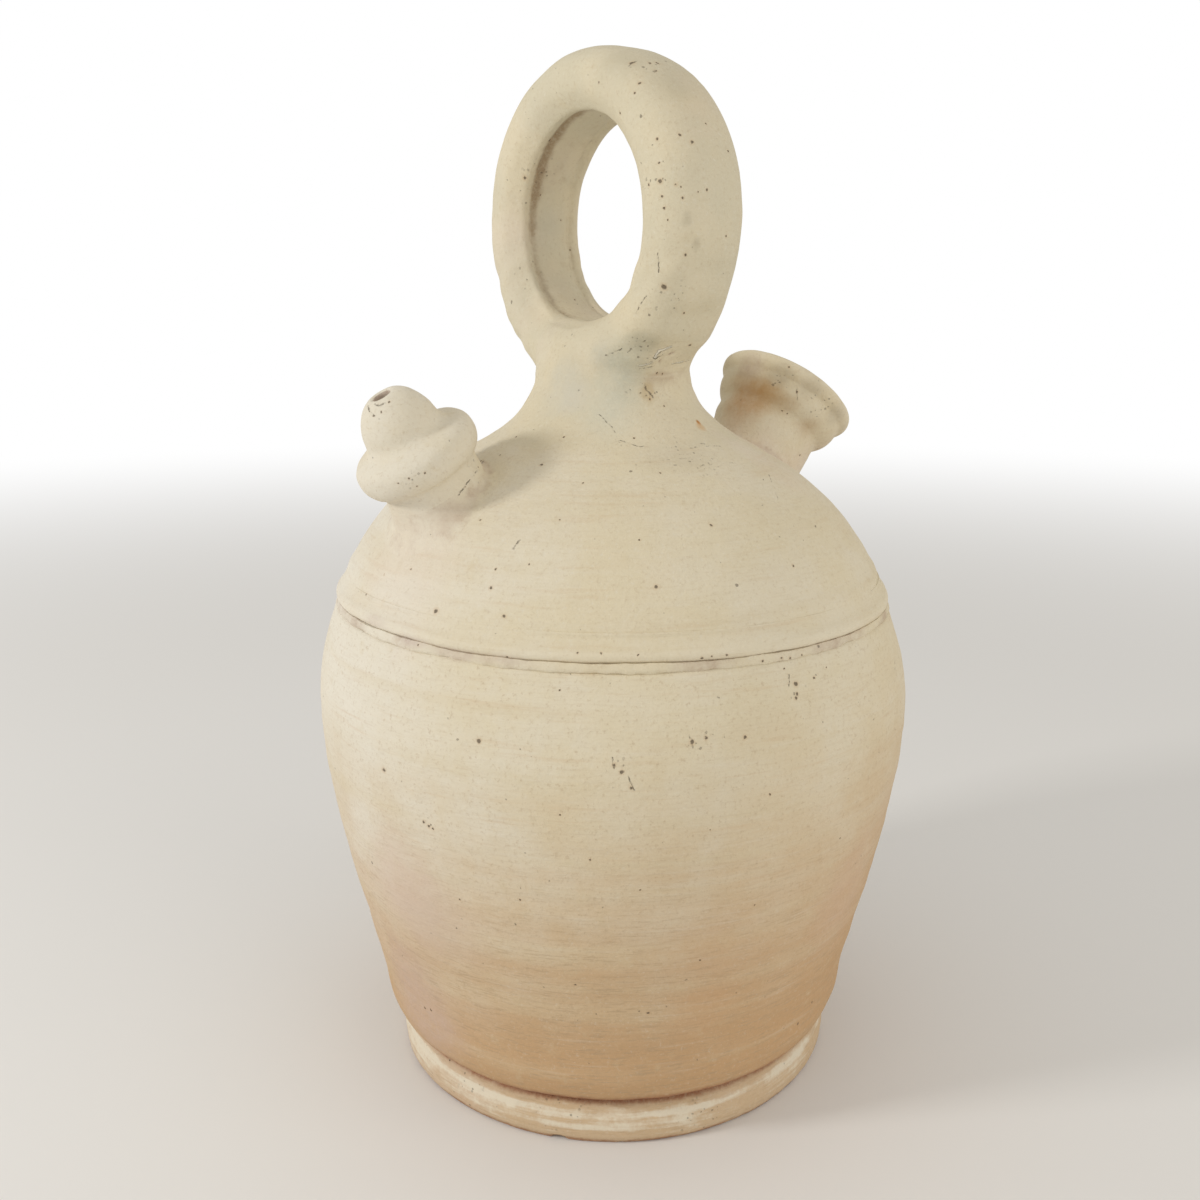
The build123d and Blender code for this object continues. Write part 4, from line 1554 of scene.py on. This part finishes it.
def ramp(tree, value, start, end, low=0.0, high=1.0):
    """Turns start..end softly into low..high."""
    made = node(tree, "ShaderNodeMapRange", interpolation_type="SMOOTHSTEP")
    for name, number in (("From Min", start), ("From Max", end), ("To Min", low), ("To Max", high)):
        made.inputs[name].default_value = number
    joined(tree, value, made.inputs["Value"])
    return made.outputs["Result"]


def clouds(tree, place, size, detail=3.0, seed=0.0, roughness=0.5):
    """Soft noise of about `size` mm, from 0 to 1."""
    made = node(tree, "ShaderNodeTexNoise")
    for name, number in (("Scale", 1 / (size * MM)), ("Detail", detail), ("Roughness", roughness)):
        made.inputs[name].default_value = number
    shift = (seed * 0.731, seed * 0.317, seed * 0.519)
    joined(tree, vector_maths(tree, "ADD", place, shift), made.inputs["Vector"])
    return made.outputs["Fac"]


def mix(tree, amount, under, over):
    made = node(tree, "ShaderNodeMix", data_type="RGBA")
    joined(tree, amount, made.inputs[0])
    joined(tree, under, made.inputs[6])
    joined(tree, over, made.inputs[7])
    return made.outputs[2]


def lay_over(tree, colour, value, start, end, amount, shade):
    """Lays a shade on the colour, more of it as the value goes from start to end."""
    return mix(tree, ramp(tree, value, start, end, 0, amount), colour, shade)


def stored(tree, name):
    return node(tree, "ShaderNodeAttribute", attribute_name=name).outputs["Fac"]


# %% [markdown]
# ## Specks and lines
#
# Grit is drawn by cells. Voronoi noise gives each cell a centre and a random colour, and
# that colour decides whether the cell has a speck and how wide it is. The listed pits,
# patches and scratches are plain distances to a place or to a short straight line.

# %% Specks and lines
PIT_SIZE = 0.78                  # the marks' sizes were read generously
LINE_SIZE = 0.5


def nearest(tree, distances):
    """The smallest of several distances."""
    least = distances[0]
    for other in distances[1:]:
        least = maths(tree, "MINIMUM", least, other)
    return least


def specks(tree, place, cell, size, share, seed=0.0):
    """Small round specks: one in each cell of `cell` mm, but only in a share of the cells."""
    cells = node(tree, "ShaderNodeTexVoronoi")
    cells.inputs["Scale"].default_value = 1 / (cell * MM)
    shift = (seed * 0.713, seed * 0.331, seed * 0.537)
    joined(tree, vector_maths(tree, "ADD", place, shift), cells.inputs["Vector"])
    draw = node(tree, "ShaderNodeSeparateColor")
    joined(tree, cells.outputs["Color"], draw.inputs[0])
    chosen = maths(tree, "LESS_THAN", draw.outputs[0], share)
    width = maths(tree, "MULTIPLY_ADD", draw.outputs[1], 0.7 * size / cell)
    width.node.inputs[2].default_value = 0.3 * size / cell
    dot = maths(tree, "LESS_THAN", cells.outputs["Distance"], width)
    return maths(tree, "MULTIPLY", dot, chosen)


def segment_distance(tree, place, start, end):
    """Distance in metres from a short straight line between two places in mm."""
    run = (end - start) * MM
    length = float(np.linalg.norm(run))
    way, start = tuple(run / length), tuple(start * MM)
    along = vector_maths(tree, "DOT_PRODUCT", vector_maths(tree, "SUBTRACT", place, start), way, "Value")
    held = node(tree, "ShaderNodeClamp")
    held.inputs["Max"].default_value = length
    joined(tree, along, held.inputs["Value"])
    point = vector_maths(tree, "SCALE", way, held.outputs[0])
    return vector_maths(tree, "DISTANCE", place, vector_maths(tree, "ADD", point, start), "Value")


def from_spots(tree, place, spots):
    """Distance from the nearest of the spots, counted in their sizes."""
    return nearest(tree, [
        maths(tree, "DIVIDE", vector_maths(tree, "DISTANCE", place, tuple(spot * MM), "Value"), size * MM)
        for spot, size in spots
    ])


def from_lines(tree, place, lines):
    """Distance from the nearest of the lines, counted in their widths."""
    return nearest(tree, [
        maths(tree, "DIVIDE", segment_distance(tree, place, start, end), size * LINE_SIZE * MM)
        for start, end, size in lines
    ])


# %% [markdown]
# ## The bare clay
#
# Clouds of several sizes vary the clay, a sandy grain roughens it, and level streaks are
# left from the wet sponge. A streak is the same noise read at a squeezed place, so it is
# long round the jug and thin upwards. A picture of clay would need a flat map instead.

# %% Bare clay
STREAK_SQUEEZE = (0.05, 0.05, 1.0)
HAIR_SQUEEZE = (0.09, 0.09, 1.0)


def clay_clouds(tree, place):
    """The clouds that all layers share; wobble and fret are theirs, counted from 0."""
    level = vector_maths(tree, "MULTIPLY", place, STREAK_SQUEEZE)
    cloud = {
        "large": clouds(tree, place, 95, 2, 1),
        "middle": clouds(tree, place, 26, 4, 2, 0.6),
        "small": clouds(tree, place, 6, 4, 3, 0.6),
        "grain": clouds(tree, place, 1.3, 3, 4, 0.7),
        "streak": clouds(tree, level, 1.9, 3, 5, 0.6),
        "broad": clouds(tree, level, 7.5, 2, 6),
    }
    cloud["wobble"] = maths(tree, "SUBTRACT", cloud["middle"], 0.5)
    cloud["fret"] = maths(tree, "SUBTRACT", cloud["small"], 0.5)
    return cloud


def bare_clay(tree, place, cloud, tan, streaks, chalk_and_lit_side):
    """The colour of the clay before any mark or dirt, with painted light on the camera's left."""
    small, grain, streak, broad = (cloud[name] for name in ("small", "grain", "streak", "broad"))
    parts = node(tree, "ShaderNodeSeparateXYZ")
    joined(tree, place, parts.inputs[0])
    up = parts.outputs[2]
    across = vector_maths(tree, "DOT_PRODUCT", place, LEFT_OF_VIEW, "Value")

    # Painted light: chalkier towards the camera's left, where the lamp falls, with clouds.
    side = plus(tree, across, cloud["wobble"], 0.07)
    colour = lay_over(tree, CREAM, side, 0.005, 0.105, chalk_and_lit_side, CHALK_AND_LIGHT)
    colour = lay_over(tree, colour, cloud["large"], 0.52, 0.75, 0.55, OCHRE)
    colour = lay_over(tree, colour, clouds(tree, place, 60, 3, 7), 0.55, 0.78, 0.5, PINK)
    colour = lay_over(tree, colour, cloud["middle"], 0.35, 0.7, 0.30 * chalk_and_lit_side, CHALK_AND_LIGHT)
    if chalk_and_lit_side < 1:
        ash = clouds(tree, place, 34, 3, 8)
        colour = lay_over(tree, colour, ash, 0.3, 0.65, 0.7 * (1 - chalk_and_lit_side), ASH)
    if tan:
        height = plus(tree, up, cloud["wobble"], 0.055)
        height = plus(tree, height, across, 0.16)
        height = plus(tree, height, maths(tree, "SUBTRACT", broad, 0.5), 0.035)
        colour = lay_over(tree, colour, height, 0.165, 0.018, tan, TAN)

    # Level streaks of the sponge.
    if streaks:
        colour = lay_over(tree, colour, broad, 0.5, 0.72, 0.26 * streaks, OCHRE)
        colour = lay_over(tree, colour, streak, 0.55, 0.75, 0.16 * streaks, CHALK_AND_LIGHT)
        colour = lay_over(tree, colour, streak, 0.45, 0.25, 0.20 * streaks, TAN)
        hair = clouds(tree, vector_maths(tree, "MULTIPLY", place, HAIR_SQUEEZE), 0.75, 2, 9, 0.7)
        low = ramp(tree, up, 0.140, 0.035, 0.10 * streaks, 0.62 * streaks)
        rough = maths(tree, "MULTIPLY", ramp(tree, hair, 0.50, 0.30), low)
        colour = mix(tree, rough, colour, SCUFF)
    colour = lay_over(tree, colour, small, 0.56, 0.75, 0.28, OCHRE)
    colour = lay_over(tree, colour, grain, 0.53, 0.75, 0.28 + 0.12 * tan, SCUFF)
    return lay_over(tree, colour, grain, 0.45, 0.25, 0.38 - 0.16 * tan, CHALK_AND_LIGHT)


# %% [markdown]
# ## Stains, dirt, painted light and shade, and grit
#
# Over the bare clay lie soft stains and painted light, then the dirt and painted shade in
# the hollows and the pale worn edges, then grit and the listed marks. Marks have ragged
# outlines, so their places are looked up with a little shake. A later layer covers an
# earlier one, so marks come last.

# %% Stains, dirt, painted light and shade, and grit
def shaken_place(tree, place):
    """The place with a little shake."""
    shake = node(tree, "ShaderNodeTexNoise")
    shake.inputs["Scale"].default_value = 1 / (1.4 * MM)
    joined(tree, place, shake.inputs["Vector"])
    shaken = vector_maths(tree, "SUBTRACT", shake.outputs["Color"], (0.5, 0.5, 0.5))
    return vector_maths(tree, "ADD", place, vector_maths(tree, "SCALE", shaken, 0.0011))


def with_stains_and_painted_light(tree, place, cloud, colour, stains_and_painted_light):
    """Soft stains and painted light and shade, each a squashed ball with a cloudy outline."""
    fine = clouds(tree, place, 2.4, 3, 12, 0.6)
    cloudy = ramp(tree, plus(tree, cloud["small"], fine, 0.8), 0.60, 1.15, 0.62, 1)
    for spot, size, squash, strength, tint in stains_and_painted_light:
        away = vector_maths(tree, "SUBTRACT", place, tuple(spot * MM))
        away = vector_maths(tree, "MULTIPLY", away, (1, 1, 1 / squash))
        away = vector_maths(tree, "LENGTH", away, (0, 0, 0), "Value")
        ripple, rise = (cloud["wobble"], 0.0012) if size > LARGE_STAIN else (cloud["fret"], 0.0019)
        away = plus(tree, away, ripple, size * rise)
        amount = ramp(tree, away, size * MM, size * 0.2 * MM, 0, strength)
        colour = mix(tree, maths(tree, "MULTIPLY", amount, cloudy), colour, (*tint, 1))
    return colour


def with_dirt_and_shade(tree, cloud, colour, shade, amount, worn):
    """Dirt and painted shade in the hollows, then pale worn edges. Hands back the colour and the wear."""
    dirt = ramp(tree, plus(tree, stored(tree, "dirt"), cloud["fret"], 0.9), 0.2, 0.95, 0, amount)
    dirt = maths(tree, "MULTIPLY", dirt, ramp(tree, cloud["grain"], 0.3, 0.6, 0.7, 1))
    colour = mix(tree, dirt, colour, shade)
    edge = plus(tree, stored(tree, "edge"), cloud["fret"], 0.8)
    for name, times in (("streak", 1.1), ("grain", 0.6)):
        edge = plus(tree, edge, maths(tree, "SUBTRACT", cloud[name], 0.5), times)
    edge = ramp(tree, edge, 0.33, 0.88, 0, worn)
    return mix(tree, edge, colour, WORN), edge


def grit(tree, place, shaken, patches, speckle):
    """Grit and burned-out grains everywhere, thicker in the patches."""
    pits = maths(tree, "MULTIPLY", specks(tree, shaken, 11, 0.6, 0.4 * speckle, 1), 0.6)
    fine = maths(tree, "MULTIPLY", specks(tree, shaken, 4.5, 0.36, 0.35 * speckle, 2), 0.45)
    pits = maths(tree, "MAXIMUM", pits, fine)
    if patches:
        patch = ramp(tree, from_spots(tree, place, patches), 1.0, 0.3)
        thick = maths(tree, "MULTIPLY", specks(tree, shaken, 1.6, 0.5, 0.5, 3), patch)
        pits = maths(tree, "MAXIMUM", pits, maths(tree, "MULTIPLY", thick, 0.5))
    return pits


def marked(tree, place, shaken, colour, pits, own):
    """Draws the listed marks. Hands back the colour, the pits and the raised slivers."""
    if own["pits"]:
        near = from_spots(tree, shaken, [(spot, size * PIT_SIZE) for spot, size in own["pits"]])
        colour = lay_over(tree, colour, near, 2.4, 0.8, 0.25, TAN)
        pits = maths(tree, "MAXIMUM", pits, ramp(tree, near, 1.1, 0.5, 0, 0.82))
    if own["scratches"]:
        broken = ramp(tree, clouds(tree, place, 1.7, 2, 11), 0.40, 0.58, 0.15, 0.72)
        line = ramp(tree, from_lines(tree, shaken, own["scratches"]), 1.3, 0.3)
        pits = maths(tree, "MAXIMUM", pits, maths(tree, "MULTIPLY", line, broken))
    colour = mix(tree, pits, colour, SPECK)
    raised = None
    if own["slivers"]:
        raised = ramp(tree, from_lines(tree, shaken, own["slivers"]), 1.5, 0.6)
        # The slivers are painted pale: a painted highlight on the folds.
        colour = mix(tree, maths(tree, "MULTIPLY", raised, 0.75), colour, SLIVER_HIGHLIGHT)
    return colour, pits, raised


# %% [markdown]
# ## The clay of each piece
#
# The layers are put together once for each piece, with that piece's own marks. The same
# values raise a bump of a few tenths of a millimetre, so grain and pits catch the light.
# One material for the whole jug would carry every mark's nodes through every piece.

# %% Finishes
def clay_material(name, own, tan, streaks, dirt, dirt_and_shade_amount, worn, speckle=1.0, chalk_and_lit_side=1.0):
    """The clay of one piece, with that piece's own marks."""
    material = bpy.data.materials.new(name)
    material.use_nodes = True
    tree = material.node_tree
    shader = tree.nodes["Principled BSDF"]
    place = node(tree, "ShaderNodeTexCoord").outputs["Object"]
    shaken = shaken_place(tree, place)
    cloud = clay_clouds(tree, place)
    colour = bare_clay(tree, place, cloud, tan, streaks, chalk_and_lit_side)
    colour = with_stains_and_painted_light(tree, place, cloud, colour, own["stains_and_painted_light"])
    colour, edge = with_dirt_and_shade(tree, cloud, colour, dirt, dirt_and_shade_amount, worn)
    pits = grit(tree, place, shaken, own["patches"], speckle)
    colour, pits, raised = marked(tree, place, shaken, colour, pits, own)
    tree.links.new(colour, shader.inputs["Base Color"])

    # Dry clay is dull all over; rubbed places and fine dust differ a little.
    small, grain = cloud["small"], cloud["grain"]
    roughness = ramp(tree, plus(tree, small, grain, 0.6), 0.5, 1.1, 0.80, 0.97)
    tree.links.new(roughness, shader.inputs["Roughness"])
    shader.inputs["Specular IOR Level"].default_value = 0.25

    # Heights in mm: grain, hand-sized unevenness, sponge lines, pits, wear and slivers.
    height = maths(tree, "MULTIPLY", grain, 0.22)
    rest = [(small, 0.34), (cloud["streak"], 0.12 * max(streaks, 0.3)), (cloud["broad"], 0.12 * streaks),
            (pits, -0.35), (edge, -0.10)]
    if raised is not None:
        rest.append((raised, 0.5))
    for value, tall in rest:
        height = plus(tree, height, value, tall)
    bump = node(tree, "ShaderNodeBump")
    bump.inputs["Distance"].default_value = MM
    bump.inputs["Strength"].default_value = 1.0
    joined(tree, height, bump.inputs["Height"])
    tree.links.new(bump.outputs[0], shader.inputs["Normal"])
    print(f"{name}: {len(tree.nodes)} nodes")
    return material


# Name, tan, streaks, colour and amount of dirt and painted shade, wear, then speckle and
# chalk with the painted light on the camera's left, if not 1.
LOOKS = {
    foot: ("foot_worn_clay", 0.62, 0.6, FOOT_DIRT_AND_SHADE, 0.85, 0.85, 2.2),
    belly: ("belly_clay", 1.0, 1.0, FOOT_DIRT_AND_SHADE, 0.8, 0.0),
    slip: ("seam_slip_clay", 0.0, 0.3, SEAM_DIRT_AND_SHADE, 0.55, 0.0),
    dome: ("dome_clay", 0.0, 0.8, SEAM_DIRT_AND_SHADE, 0.52, 0.25),
    stem: ("stem_clay", 0.0, 0.2, SEAM_DIRT_AND_SHADE, 0.5, 0.2, 1.2, 0.6),
    root: ("root_clay", 0.0, 0.0, SEAM_DIRT_AND_SHADE, 0.6, 0.3, 1.3, 0.5),
    ring: ("ring_clay", 0.0, 0.0, CHANNEL_DIRT_AND_SHADE, 0.8, 0.2, 1.8, 0.35),
    boss: ("boss_clay", 0.0, 0.2, SEAM_DIRT_AND_SHADE, 0.6, 0.3),
    spout: ("spout_clay", 0.0, 0.2, SEAM_DIRT_AND_SHADE, 0.6, 0.3),
    mouth_root: ("mouth_root_clay", 0.0, 0.3, SEAM_DIRT_AND_SHADE, 0.6, 0.3),
    mouth: ("mouth_clay", 0.0, 0.4, SEAM_DIRT_AND_SHADE, 0.7, 0.3, 1.2),
}
finishes = {
    piece: clay_material(name, marks[piece.name], *look) for piece, (name, *look) in LOOKS.items()
}
NO_MARKS = {kind: [] for kind in MARK_KINDS}
under_clay = clay_material("under_floor_clay", NO_MARKS, 1.0, 0.0, FOOT_DIRT_AND_SHADE, 0.0, 0.0, 1.3)

# %% [markdown]
# ## Dressing the frame
#
# Each skin takes the place of the plain solid it dresses and rides on the jug's one body.
# Each row also names a slot for the finish, which the code does not use. The floor of the
# jug is flat and hidden, so its solid is kept and only gets the clay.

# %% Dressing the frame
DRESSED = {
    "foot_ring": (foot, "foot_clay"),
    "belly_wall": (belly, "body_clay"),
    "shoulder_slip": (slip, "seam_slip"),
    "shoulder_dome": (dome, "body_clay"),
    "handle_neck": (stem, "handle_clay"),
    "handle_root_coil": (root, "handle_clay"),
    "ring_handle": (ring, "handle_clay"),
    "spout_boss": (boss, "spout_clay"),
    "spout": (spout, "spout_clay"),
    "mouth_root_coil": (mouth_root, "mouth_clay"),
    "filler_mouth": (mouth, "mouth_clay"),
}
for node_name, (piece, slot) in DRESSED.items():
    piece.data.materials.clear()
    piece.data.materials.append(finishes[piece])
    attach(piece, "root")
    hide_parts(node_name)
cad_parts["base_floor"].data.materials.clear()
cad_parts["base_floor"].data.materials.append(under_clay)
print("dressed:", sorted(DRESSED))
